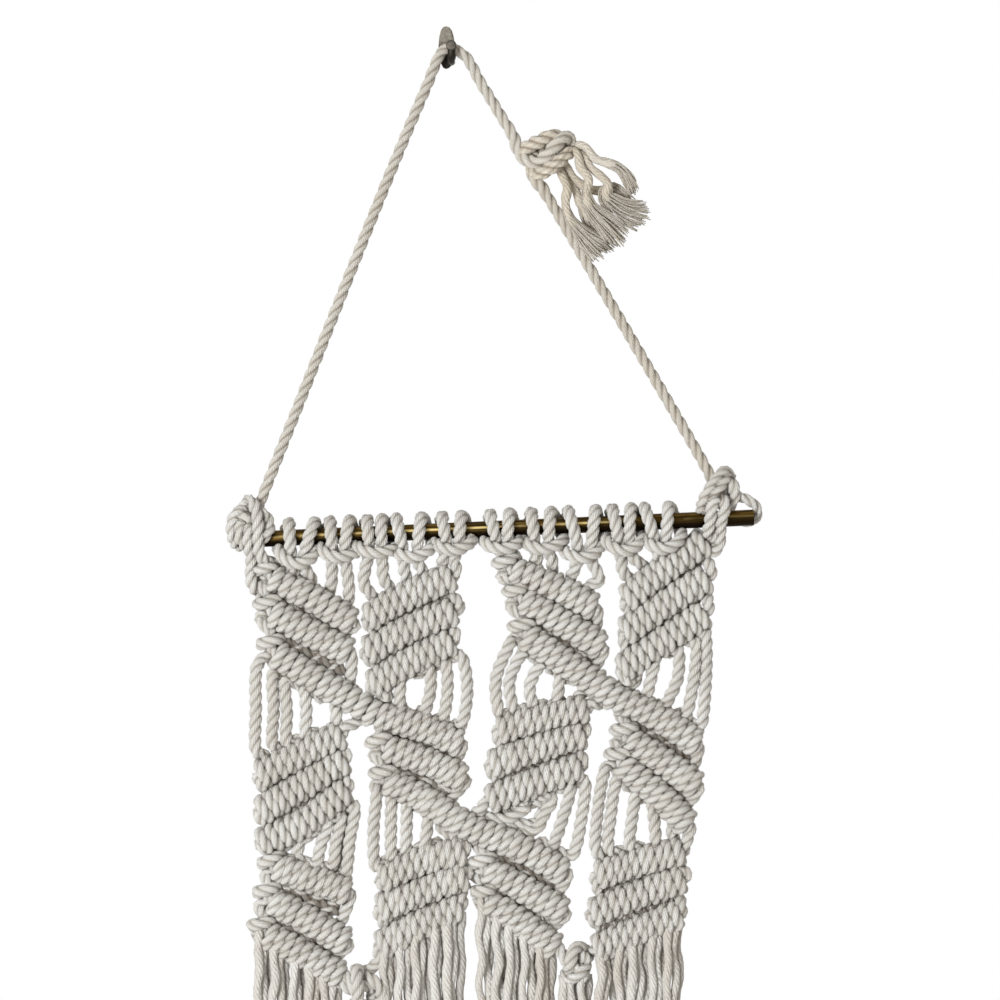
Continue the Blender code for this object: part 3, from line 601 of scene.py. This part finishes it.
def hitch(row, index, falling, jitter, hitches=HITCHES):
    """A cord's way through one double half hitch: two wraps up the front of the holder."""
    width = 1.0 / (2 * hitches)
    first = (2 * index + 0.5) * width + jitter[0]
    second = (2 * index + 1.5) * width + jitter[1]
    entry = ENTRY_RISE
    if row.get("steep") and index == 0:
        first, entry = first - 0.05, 0.0
    if not falling:
        first, second = second, first
    middle = (first + second) / 2
    way = [on_row(row, first, WRAP_HEIGHT + entry, ENTRY_BACK)]
    # The angle counts from the top, 90 behind, 180 below, 270 in front. The first wrap lasts
    # to 400, and from 500 on the cord is in its second.
    for angle in range(90, 860, 45):
        share = first if angle < 400 else second
        if 400 < angle < 500:
            share = first + (second - first) * (angle - 360) / 180
        elif angle >= 765:
            share = second + (middle - second) * (0.6 if angle == 765 else 1.0)
        out = WRAP_FRONT
        if 360 < angle < 540:
            out = WRAP_CROSSING
        elif angle < 180 or angle > 720:
            out = WRAP_BACK
        high = WRAP_HEIGHT * math.cos(math.radians(angle))
        deep = out * math.sin(math.radians(angle))
        way.append(on_row(row, share, high, deep))
    way.append(on_row(row, middle, -WRAP_HEIGHT - ENTRY_RISE, ENTRY_BACK))
    return way


def holder(row, falling):
    """The holding cord's way along a row, from just before its first wrap to past its last."""
    shares = (-0.02, 0.1, 0.3, 0.5, 0.7, 0.9, 1.02)
    way = [on_row(row, share) for share in shares]
    return way if falling else way[::-1]


# Free cords from one tier to the next, from the leaf's left: x and z where each leaves a row
# and where it meets the next, how far it bows, and how far behind the others it lies, if it
# does. None is hidden behind the crossing.
GAPS = {
    "A1": ((-111.3, -358, -111.3, -424, -1), (-101.5, -362, -102, -420, 0),
           (-94.5, -366, -93.5, -418, 0), (-82.5, -372, -82.5, -413, 0),
           (-65.5, -380, -64.5, -407, 0)),
    "B1": (None, (-27, -367, -28, -398, 0), (-12, -360, -17, -400, 5),
           (-3, -356, -5, -405, 4.5), (5.5, -352, 5, -408, 7)),
    "C1": ((42, -345, 35, -402, -9.5), (52, -350, 45, -399, -11.5),
           (62, -358, 56, -396, -10), (68, -364, 64, -394, 0), None),
    "D1": (None, (124, -355, 115.5, -392, 0.5), (134.5, -348, 121.5, -398, 8),
           (146, -343, 137, -405, 4), (152, -337, 147.5, -410, 3)),
    "A2": ((-86.5, -462, -89, -486, 0, 3.5), (-67.7, -452, -79.4, -486, 0),
           (-61.2, -448, -69, -489, 0), (-57.8, -446, -64.8, -491, 0, 5),
           (-53.5, -441, -60.5, -494, 0)),
    "B2": ((-40, -431, -40, -491, -3), (-31, -434, -30.5, -488, -2),
           (-22, -438, -22, -484, -1.5), (-9.5, -442, -12.5, -481, -0.5), None),
    "C2": ((51, -446.5, 34, -456, 0), (60, -444, 52, -460, 0, 4),
           (64, -440, 51.5, -464, 0), (73.5, -429, 58, -478, 3), (81, -425, 71, -484, 3.5)),
    "D2": ((95, -419, 89, -483, -3), (103, -425, 96.5, -481, -3),
           (114, -433, 108.5, -478, -2), (121, -441, 124, -475, 0), None),
}


def free_run(values):
    """Points of one free cord between two rows."""
    if values is None:
        return []
    top_x, top_z, foot_x, foot_z, side, behind = (*values, 0.0)[:6]
    return [np.array((top_x + (foot_x - top_x) * share + side * math.sin(math.pi * share),
                      PLANE_Y + behind, top_z + (foot_z - top_z) * share))
            for share in (0.12, 0.5, 0.88)]


# Two cords come from each rod knot, k, and a pair from each lark's head, l.
names = ["k1", "k2", *(f"l{head}{leg}" for head in range(1, 11) for leg in "ab"), "k3", "k4"]
cords = {name: [] for name in names}
columns = {column: names[6 * index:6 * index + 6] for index, column in enumerate("ABCD")}


def tie_row(leaf, number):
    """Sends a column's cords through one row and puts them in their new order."""
    column, row, falling = leaf[0], rows[leaf, number], falls[leaf]
    order = columns[column]
    leader = order[0] if falling else order[-1]
    followers = order[1:] if falling else order[:-1]
    edge = -1 if falling else 1
    crossed = number == 1 and leaf in CROSSED
    row["steep"] = falling and not crossed
    if not crossed:
        cords[leader].append(on_row(row, 0.0 if falling else 1.0, EDGE_RISE, -EDGE_FRONT,
                                    edge * WIDE_TURNS.get(leaf, EDGE_TURN)))
    cords[leader] += holder(row, falling)
    if number < 3:
        cords[leader].append(on_row(row, 1.0 if falling else 0.0, -EDGE_DROP, 0.0,
                                    -edge * EDGE_EXIT))
    for index, name in enumerate(followers):
        jitter = [rng.uniform(-HITCH_STRAY, HITCH_STRAY) for _ in range(2)]
        cords[name] += hitch(row, index, falling, jitter)
    columns[column] = followers + [leader] if falling else [leader] + followers
    return leader


def run_down(leaf):
    """Adds the free cords under a leaf's last row."""
    order = columns[leaf[0]]
    followers = order[:-1] if falls[leaf] else order[1:]
    for name, values in zip(followers, GAPS[leaf]):
        cords[name] += free_run(values)


def swap_leaders(upper, lower):
    """Two leaders change columns between a leaf and the next one on its right, a tier down:
    the right one ties a hitch round the left one."""
    above, below, left, right = rows[upper, 3], rows[lower, 1], upper[0], lower[0]
    row = dict(left_x=above["right_x"], left_z=above["right_z"],
               right_x=below["left_x"], right_z=below["left_z"], bow=0.0)
    straight, tying = columns[left][-1], columns[right][0]
    cords[straight] += [on_row(row, 0.3), on_row(row, 0.7)]
    cords[tying] += [on_row(row, 0.9, 13.0, -1.5)] + hitch(row, 0, False, (0.0, 0.0), 1)
    columns[left][-1], columns[right][0] = tying, straight


# Joining knots under the lowest leaves: the leaders' own ways through them, and their turns.
JOIN_KNOTS = {
    "A": ((-61.6, -14, -546.1), (-56.4, -16, -550.5), (-51.6, -19, -553.1),
          (-46.8, -16.5, -553.1), (-43.1, -12.5, -556), (-44.6, -12, -561.9)),
    "B": ((-39.5, -15, -538.3), (-44.2, -13, -542.8), (-48.7, -13, -545.7),
          (-53.1, -19.5, -543.1), (-52.1, -23, -550.1), (-52, -22, -557.5),
          (-52.3, -17, -563.4)),
    "C": ((63.2, -13, -528.8), (67.1, -15.5, -532.4), (70.7, -18, -538.4), (74.8, -19.5, -541.9),
          (79.5, -17, -545.4), (81.3, -13, -549.5)),
    "D": ((84.2, -10, -533.4), (81.4, -12, -532.8), (78.9, -16, -530.6), (76.2, -20, -530.4),
          (74.2, -22.5, -534.2), (72.9, -22.5, -539), (71.9, -18, -543.8), (71.5, -13, -548)),
}
JOIN_TURNS = (
    ("A", ((-64.5, -13, -550.1), (-60.8, -15, -552.3), (-55.7, -16, -555.6),
           (-50.5, -15, -559))),
    ("B", ((-48.7, -14, -547.2), (-43.1, -17.5, -550.1), (-38.7, -17, -555.6),
           (-39.1, -14, -561.9), (-43.9, -13, -566.3))),
    ("C", ((69, -13, -546.8), (73.6, -18.5, -548.2), (78.3, -20.5, -545.4), (81.9, -16, -541),
           (83.4, -10, -536))),
    ("C", ((78.3, -15, -532.5), (81, -17, -537), (81.2, -15, -543.5), (79.5, -12, -549))),
    ("C", ((75.5, -11, -534.5), (77.5, -11, -540), (75.5, -11, -547))),
)

for tier in (1, 2, 3):
    for column in "ABCD":
        for number in (1, 2, 3):
            leader = tie_row(f"{column}{tier}", number)
        if tier == 3:
            cords[leader] += list(JOIN_KNOTS[column])
        else:
            run_down(f"{column}{tier}")
    for upper, lower in (("A1", "B2"), ("C1", "D2"), ("B2", "C3")):
        if upper[1] == str(tier):
            swap_leaders(upper, lower)

# Knots on the rod ----------------------------------------
# Ten cords are folded over the rod in lark's heads, held down in front by their own bights.
# At each end a knot ties the hanging rope to the rod and sends two cords into the cloth.

ROD_R = 4.75
ROPE_R = 3.8                    # of the cords that close round the rod
ROD_X = (-123.0, 181.0)
ROD_Z = (-291.0, -277.7)
LARKS_COLUMNS = ("name", "crown_a", "low_a", "foot_a", "crown_b", "low_b", "foot_b",
                 "left_x", "left_drop", "sag", "right_x", "right_drop")
LARKS_HEADS = (
    ("l1", -92.5, -91.3, -88, -77.7, -84.8, -79, -99, 8.7, 15.6, -76, 8.5),
    ("l2", -68.3, -67.1, -67.7, -57.1, -60.7, -57.5, -74.2, 8.6, 12.6, -53, 11),
    ("l3", -46.5, -45.4, -48.6, -38.3, -38.3, -37, -53, 8.3, 11.2, -29.4, 9.4),
    ("l4", -29.4, -25.3, -25, -14.7, -17.7, -14, -31.2, 11, 14.5, -8.2, 9.1),
    ("l5", -2.4, 0, -4, 8.8, 7.1, 2, -6.5, 8.6, 11.4, 15.3, 6.6),
    ("l6", 25.9, 29.4, 39, 37.1, 35.3, 47, 22.4, 9.3, 12.1, 43, 9),
    ("l7", 50.1, 51.8, 55, 61.3, 59.5, 64, 46.5, 10.3, 13.2, 68.9, 9),
    ("l8", 71.9, 78.3, 73, 87.8, 84.2, 90, 68.9, 16, 19.5, 90.7, 14),
    ("l9", 97.8, 101.9, 104, 108.4, 106.6, 116, 93.7, 11.2, 16.4, 115.4, 10.4),
    ("l10", 116.6, 123.1, 127, 130.8, 128.4, 136, 117.2, 11.7, 16.2, 138.4, 9.6),
)
BIGHT_FRONTS = (2.5, 7.5, 9.8)  # a bight's ends, shoulders and middle, in front of the rod
BIGHT_LIFT = 1.8                # how far its ends are lifted from their drops
LEG_ANGLES = range(-14, 230, 34)    # counted from the rod's front, 90 being its top
# The rod knots' strands, as routes. The first two of each run on into the cloth as cords.
LEFT_ROD_KNOT = (
    ((-114.7, -16, -280.4), (-115.9, -22, -285.2), (-116.4, -22.3, -290.8), (-115.9, -20, -296),
     (-114.8, -17, -301.2), (-114.9, -15, -307.3), (-115.2, -14, -313.3), (-114, -12.5, -318.1),
     (-111.5, -8, -320.7), (-108, -3, -316), (-104.5, -3.5, -306)),
    ((-119.5, -14, -275.8), (-118.4, -18, -270.4), (-116, -19.5, -267.3),
     (-113.4, -20.5, -270), (-111.7, -22, -275.2), (-110.7, -23.5, -281.3),
     (-110.8, -24, -287.3), (-110.7, -22.5, -293.4), (-109.8, -20, -299),
     (-106.8, -17.5, -303), (-102.2, -15, -305.4), (-97.5, -11.5, -306.5)),
    ((-112.1, -15, -274.4), (-108.2, -17.5, -275.4), (-105, -17, -279.4),
     (-104.3, -19.5, -284.8), (-106.9, -21, -288.6), (-109.1, -18, -290.8)),
    ((-117.8, -18, -275.8), (-120.8, -20.5, -273.9), (-124.1, -20, -276.5), (-126, -19, -281.3),
     (-126, -18, -286.9), (-124.8, -14, -291.7), (-122.6, -8, -294.2), (-119.5, -5, -293.4)),
    ((-118.2, -19, -280.4), (-121.2, -20.5, -283), (-121.4, -20.5, -287.8),
     (-120.4, -19, -291.7), (-118.2, -15, -294.3)),
    ((-112.8, -10.5, -299), (-111.8, -9.5, -309), (-110.8, -9, -319),
     (-108.5, -9, -329)),
    ((-121.7, -17, -278.9), (-119.5, -21.5, -277.1), (-116.9, -22, -277.4),
     (-114.9, -18, -280)),
)
RIGHT_ROD_KNOT = (
    ((159.5, -23.5, -266.3), (156.9, -24.5, -268.8), (155.6, -24.5, -273.6),
     (155.1, -22.5, -278.6), (154.2, -20, -283.4), (153.6, -16.5, -287.7), (154, -11, -290.8)),
    ((160.2, -21, -265.4), (162.6, -23.5, -268), (163.2, -23.5, -272.1), (162, -22.5, -277.2),
     (161, -20.5, -281.5), (160.9, -18, -285.9), (160.8, -17, -290.3), (160, -16, -294.4),
     (157.6, -15, -297.4), (155, -13.5, -297.5)),
    ((158.7, -18, -277), (157.8, -17.5, -284.5), (158.7, -16, -290.3), (156.9, -14.5, -294.6)),
    ((167.8, -13, -255.2), (163.7, -17.5, -250.9), (159.1, -21.5, -255.2), (154.6, -24, -261.3),
     (151.2, -22.5, -267.3), (150.2, -16, -272.6), (152.3, -5, -277.1)),
    ((165.9, -15, -253.7), (164, -20, -255.2), (159.9, -23.5, -260.2), (155.7, -24, -265.8),
     (153.2, -20, -271.1), (153.5, -7, -276.4)),
    ((162.9, -15, -254.5), (168.3, -19, -258.6), (169.4, -18.5, -264.3), (167.1, -15, -270),
     (165.6, -5, -274.5)),
    ((157.6, -14, -257.5), (162.7, -14.5, -261.2), (163.5, -15.5, -267), (159.8, -16, -272)),
)
RIGHT_LOOP_R = 3.3
RIGHT_LOOP = (
    (166.7, -13, -262.8), (172.7, -15, -265.4), (178.8, -15, -268.2), (182.9, -11, -272.6),
    (182.5, -6.5, -277.9), (178.8, -4, -280.2), (167.4, -4, -278.7),
)


def rod_z(x):
    """The height of the rod's axis, which slopes a little."""
    return ROD_Z[0] + (x - ROD_X[0]) / (ROD_X[1] - ROD_X[0]) * (ROD_Z[1] - ROD_Z[0])


def larks_leg(crown, low, foot, end, sag):
    """A leg from behind the bight up the rod's front, over its crown and down behind it."""
    way = [(low + (foot - low) * 0.5, PLANE_Y - 1.0, rod_z(low) - sag - 5.5),
           (low + (foot - low) * 0.1, PLANE_Y - 2.2, rod_z(low) - sag + 0.5)]
    for angle in LEG_ANGLES:
        reach = ROD_R + ROPE_R
        rise = reach * math.sin(math.radians(angle))
        if angle < 90:
            x = low + (crown - low) * (rise + sag - 4) / (reach + sag - 4)
        else:
            x = crown + (end - crown) * (angle - 90) / 150
        way.append((x, PLANE_Y - reach * math.cos(math.radians(angle)), rod_z(x) + rise))
    return way


def larks_head(row):
    """A folded cord from the foot of its first leg, over the rod and back, to its second."""
    left, right = row["left_x"], row["right_x"]
    middle, sag = (left + right) / 2, row["sag"]
    low = rod_z(middle)
    drops = [row[side] - BIGHT_LIFT for side in ("left_drop", "right_drop")]
    shoulders = [0.4 * drop + 0.6 * sag for drop in drops]
    end_y, shoulder_y, middle_y = [PLANE_Y - front for front in BIGHT_FRONTS]
    bight = [
        (left, end_y, low - drops[0]),
        (left + 0.3 * (middle - left), shoulder_y, low - shoulders[0]),
        (middle, middle_y, low - sag),
        (right - 0.3 * (right - middle), shoulder_y, low - shoulders[1]),
        (right, end_y, low - drops[1]),
    ]
    first = larks_leg(row["crown_a"], row["low_a"], row["foot_a"], left, sag)
    second = larks_leg(row["crown_b"], row["low_b"], row["foot_b"], right, sag)
    return first + bight + second[::-1]


bundles = {column: Bundle() for column in "ABCD"}
for values in LARKS_HEADS:
    row = dict(zip(LARKS_COLUMNS, values))
    name = row["name"]
    first, second, head = cords[name + "a"], cords[name + "b"], larks_head(row)
    runs = []
    for foot, neck, cord in ((row["foot_a"], head[0], first), (row["foot_b"], head[-1], second)):
        fall = neck[2] - cord[0][2]
        runs.append([(foot, PLANE_Y, cord[0][2] + 0.4 * fall)] if fall > 10 else [])
    column = "ABCD"[names.index(name + "a") // 6]
    bundles[column].add_rope(first[::-1] + runs[0] + head + runs[1] + second, WRAP_R)
for column, knot, first, second in (("A", LEFT_ROD_KNOT, "k1", "k2"),
                                    ("D", RIGHT_ROD_KNOT, "k3", "k4")):
    bundles[column].add_rope(list(knot[0]) + cords[first], WRAP_R)
    bundles[column].add_rope(list(knot[1]) + cords[second], WRAP_R)
    for route in knot[2:]:
        bundles[column].add_rope(route, WRAP_R)
bundles["D"].add_rope(RIGHT_LOOP, RIGHT_LOOP_R)
for column, turn in JOIN_TURNS:
    bundles[column].add_rope(turn, WRAP_R)
# Short cords with painted shade on their fronts stand in for what lies hidden between two
# neighbouring rows.
FILLER_R, FILLER_BACK, FILLER_SHADE = 4.2, 3.8, 0.8
FILLER_TAPER = ((0, 0.3), (0.1, 1), (0.9, 1), (1, 0.3))
for (leaf, number), row in rows.items():
    if number == 3:
        continue
    route = [(on_row(row, share, 0, FILLER_BACK)
              + on_row(rows[leaf, number + 1], share, 0, FILLER_BACK)) / 2
             for share in (0.06, 0.3, 0.5, 0.7, 0.94)]
    bundles[leaf[0]].add_rope(route, FILLER_R, tone=1.0, sunk=FILLER_SHADE, slim=FILLER_TAPER)
for column, bundle in bundles.items():
    piece = bundle.make("knotted_cords_" + column.lower(), knot_cotton, "knotted_cotton")
    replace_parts(piece, "knotted_cords")

# Fringe --------------------------------------------------
# Below the lowest rows every cotton cord is laid open into its three plies, which keep their
# waves. They hang from behind the rows and the joining knots and are cut roughly level.

FRINGE_END, END_STRAY = -756.0, 5.0
WAVE_LENGTHS, WAVE_WIDTHS = (26, 42), (0.5, 1.5)
PLY_STEP, PLY_RADII = 6.0, (2.3, 3.0)
ROW_PLIES, LAYER_GAP = 15, 3.6  # plies under each row, in three layers
KNOT_PLIES = 6                  # and under each joining knot, in two
KNOT_ROOTS = {"left": (-50.0, -556.0), "right": (74.0, -541.0)}


def fringe_ply(bundle, root_x, root_z, layer, end_x):
    """One ply that hangs from behind a row, still waved from its rope."""
    reach = root_z - FRINGE_END + rng.uniform(-END_STRAY, END_STRAY)
    phase, pace = rng.uniform(0, 6.3), rng.uniform(*WAVE_LENGTHS)
    width = rng.uniform(*WAVE_WIDTHS)
    points = []
    count = int(reach / PLY_STEP)
    for step in range(count + 1):
        down, share = reach * step / count, step / count
        swing = width * min(1.0, down / 12)
        angle = phase + down / pace * 2 * math.pi
        points.append((root_x + (end_x - root_x) * min(1.0, share * 3) + swing * math.sin(angle)
                       + 1.2 * math.sin(phase + down / 71),
                       PLANE_Y + layer + swing * 0.8 * math.cos(angle), root_z - down))
    # Plies of the back layer get painted shade on their fronts.
    add_ply(bundle, points, rng.uniform(*PLY_RADII), 3.2, sunk=0.45 if layer > 2 else 0.0)


for side, leaves in (("left", ("A3", "B3")), ("right", ("C3", "D3"))):
    fringe = Bundle()
    for leaf in leaves:
        for index in range(ROW_PLIES):
            root = on_row(rows[leaf, 3], (index + 0.5) / ROW_PLIES, -3.0)
            layer = (index % 3 - 1) * LAYER_GAP
            fringe_ply(fringe, root[0], root[2], layer, root[0] + rng.uniform(-1.0, 1.0))
    x, z = KNOT_ROOTS[side]
    for index in range(KNOT_PLIES):
        root_x = x + (index // 2 - 1) * 6.0 + (index % 2) * 2.5
        fringe_ply(fringe, root_x, z - 6, (index % 2 - 0.5) * 6.5, root_x)
    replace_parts(fringe.make("fringe_plies_" + side, fringe_cotton, "fringe_cotton"),
                "fringe_" + side)

# Rod -----------------------------------------------------
# A round brass rod with a small chamfer, darkened with age, with a painted highlight along its
# length and painted shade on its underside.
# It lies in the lark's heads and in the two knots at its ends.

ROD_CHAMFER = 0.0006            # in metres
SHARP_ANGLE = math.radians(35)
rod_length = math.hypot(ROD_X[1] - ROD_X[0], ROD_Z[1] - ROD_Z[0]) * MM
bpy.ops.object.select_all(action="DESELECT")
bpy.ops.mesh.primitive_cylinder_add(vertices=64, radius=ROD_R * MM, depth=rod_length)
rod = bpy.context.object
rod.name = rod.data.name = "rod"
chamfer = rod.modifiers.new("chamfer", "BEVEL")
chamfer.width, chamfer.segments, chamfer.limit_method = ROD_CHAMFER, 3, "ANGLE"
bpy.ops.object.modifier_apply(modifier="chamfer")
rod.rotation_euler = (0, math.atan2(ROD_X[1] - ROD_X[0], ROD_Z[1] - ROD_Z[0]), 0)
rod.location = Vector((sum(ROD_X) / 2, PLANE_Y, sum(ROD_Z) / 2)) * MM
bpy.ops.object.transform_apply(location=True, rotation=True, scale=True)
rod.data.shade_smooth()
rod.data.set_sharp_from_angle(angle=SHARP_ANGLE)
brass, tree, shader = principled("aged brass", 0.35, 1.0)
spot = node(tree, "TexCoord").outputs["Object"]
stretch = node(tree, "Mapping", in_Vector=spot, in_Scale=(14.0, 520.0, 520.0))
streaks = noise(tree, stretch, 1.0, 5.0, 0.65)
patina = ramp(tree, streaks, (0.38, (0.030, 0.022, 0.008)), (0.56, (0.16, 0.095, 0.020)),
              (0.72, (0.60, 0.40, 0.10)))
# Painted highlight: a bright line along the upper front, broken up by noise and faint near the
# right end.
slope = math.atan2(ROD_Z[1] - ROD_Z[0], ROD_X[1] - ROD_X[0])
line_height = rod_z(0.0) * math.cos(slope) * MM + 0.0012
across = maths(tree, "DOT_PRODUCT", spot, (-math.sin(slope), 0, math.cos(slope)),
               kind="VectorMath")
height = maths(tree, "SUBTRACT", across, line_height)
line = rescale(tree, maths(tree, "ABSOLUTE", height), 0.0009, 0.0003)
highlight_breaks = rescale(tree, noise(tree, spot, 26.0, 2.0), 0.45, 0.58)
along = node(tree, "SeparateXYZ", in_Vector=spot).outputs["X"]
highlight_fade = rescale(tree, along, 0.125, 0.16, 1.0, 0.12)
painted_highlight = maths(tree, "MULTIPLY", maths(tree, "MULTIPLY", line, highlight_breaks), highlight_fade)
# Painted shade: the underside is the darkest.
under = rescale(tree, height, -0.003, 0.0022)
metal = mix(tree, painted_highlight, mix(tree, under, (0.02, 0.013, 0.006, 1), patina),
            (0.98, 0.77, 0.34, 1))
wear = rescale(tree, streaks, 0.0, 1.0, 0.6, 0.28)
tree.links.new(metal.outputs[2], shader.inputs["Base Color"])
tree.links.new(wear.outputs["Result"], shader.inputs["Roughness"])
rod.data.materials.append(brass)
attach(rod, "root")
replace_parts(rod, "brass_rod")

# Wall hook -----------------------------------------------
# A leaf-shaped plate of dark metal with a softened rim, flat on the wall, and a round prong
# that leaves it low and turns up in front of the rope to a round head.

PLATE_OUTLINE = ((-0.4, 12.8), (1.6, 12.1), (3.1, 10.2), (4.1, 6.8), (4.9, 2.0), (5.6, -3.0),
                 (5.4, -6.4), (3.8, -9.6), (1.2, -12.0), (-0.6, -12.5), (-2.2, -11.6),
                 (-3.8, -8.6), (-4.7, -4.0), (-4.9, 1.0), (-4.4, 6.6), (-3.5, 10.2),
                 (-2.2, 12.1))
PLATE_T, RIM_SOFTENING = 2.0, 0.0007    # the softening in metres
PRONG = ((2.9, -1.0, -8.2), (2.9, -6.0, -8.4), (2.9, -11.5, -8.0), (2.9, -14.8, -6.0),
         (2.9, -15.8, -3), (2.9, -15.9, 0))
PRONG_R = 2.3
HEAD = ((-13.6, 1.6), (-13.9, 2.7), (-14.6, 3.1), (-17.6, 3.1), (-18.3, 2.75), (-18.5, 2.2),
        (-18.3, 0.3))            # y and radius round the head's axis
work = bmesh.new()
rim = [work.verts.new((x * MM, 0, z * MM)) for x, z in PLATE_OUTLINE]
grown = bmesh.ops.extrude_face_region(work, geom=[work.faces.new(rim)])
for item in grown["geom"]:
    if isinstance(item, bmesh.types.BMVert):
        item.co.y = -PLATE_T * MM
rim_edges = [edge for edge in work.edges
             if all(abs(vert.co.y + PLATE_T * MM) < 1e-6 for vert in edge.verts)]
bmesh.ops.bevel(work, geom=rim_edges, offset=RIM_SOFTENING, segments=3, affect="EDGES")


def add_rings(rings):
    """Closes a row of rings of points into one round body."""
    loops = [[work.verts.new([value * MM for value in point]) for point in ring]
             for ring in rings]
    for lower, upper in zip(loops, loops[1:]):
        for index in range(len(lower)):
            ahead = (index + 1) % len(lower)
            work.faces.new((lower[index], lower[ahead], upper[ahead], upper[index]))
    work.faces.new(loops[0])
    work.faces.new(loops[-1])


corners = [step * math.pi / 16 for step in range(32)]
add_rings([[(PRONG[0][0] + radius * math.cos(a), y, radius * math.sin(a)) for a in corners]
           for y, radius in HEAD])
prong, _ = smooth_route(PRONG, 0.8)
sides, ups = carried_frames(prong)
add_rings([[point + PRONG_R * (side * math.cos(a) + up * math.sin(a)) for a in corners]
           for point, side, up in zip(prong, sides, ups)])
bmesh.ops.recalc_face_normals(work, faces=work.faces)
hook_mesh = bpy.data.meshes.new("hook")
work.to_mesh(hook_mesh)
work.free()
hook = bpy.data.objects.new("hook", hook_mesh)
bpy.context.scene.collection.objects.link(hook)
hook_mesh.shade_smooth()
hook_mesh.set_sharp_from_angle(angle=SHARP_ANGLE)
dark, tree, shader = principled("dark metal", 0.5, 0.6)
spot = node(tree, "TexCoord").outputs["Object"]
tones = ramp(tree, noise(tree, spot, 420.0, 5.0, 0.7), (0.3, (0.10, 0.085, 0.07)),
             (0.7, (0.34, 0.31, 0.26)))
# Painted shade: the lower half and the rim of the prong's head are nearly black.
where = node(tree, "SeparateXYZ", in_Vector=spot).outputs
low = rescale(tree, where["Z"], -0.0015, 0.004)
from_axis = maths(tree, "SUBTRACT", spot, (PRONG[0][0] * MM, 0, 0), kind="VectorMath")
flat = maths(tree, "MULTIPLY", from_axis, (1, 0, 1), kind="VectorMath")
reach = maths(tree, "LENGTH", flat, kind="VectorMath")
face = rescale(tree, reach, 0.0031, 0.0022, 0.0, 0.45)
painted_lit_share = node(tree, "Mix", in_0=maths(tree, "LESS_THAN", where["Y"], -0.013),
             in_2=low, in_3=face)
tones_and_painted_shade = mix(tree, painted_lit_share, (0.022, 0.017, 0.013, 1), tones)
tree.links.new(tones_and_painted_shade.outputs[2], shader.inputs["Base Color"])
hook_mesh.materials.append(dark)
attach(hook, "root")
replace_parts(hook, "wall_hook")
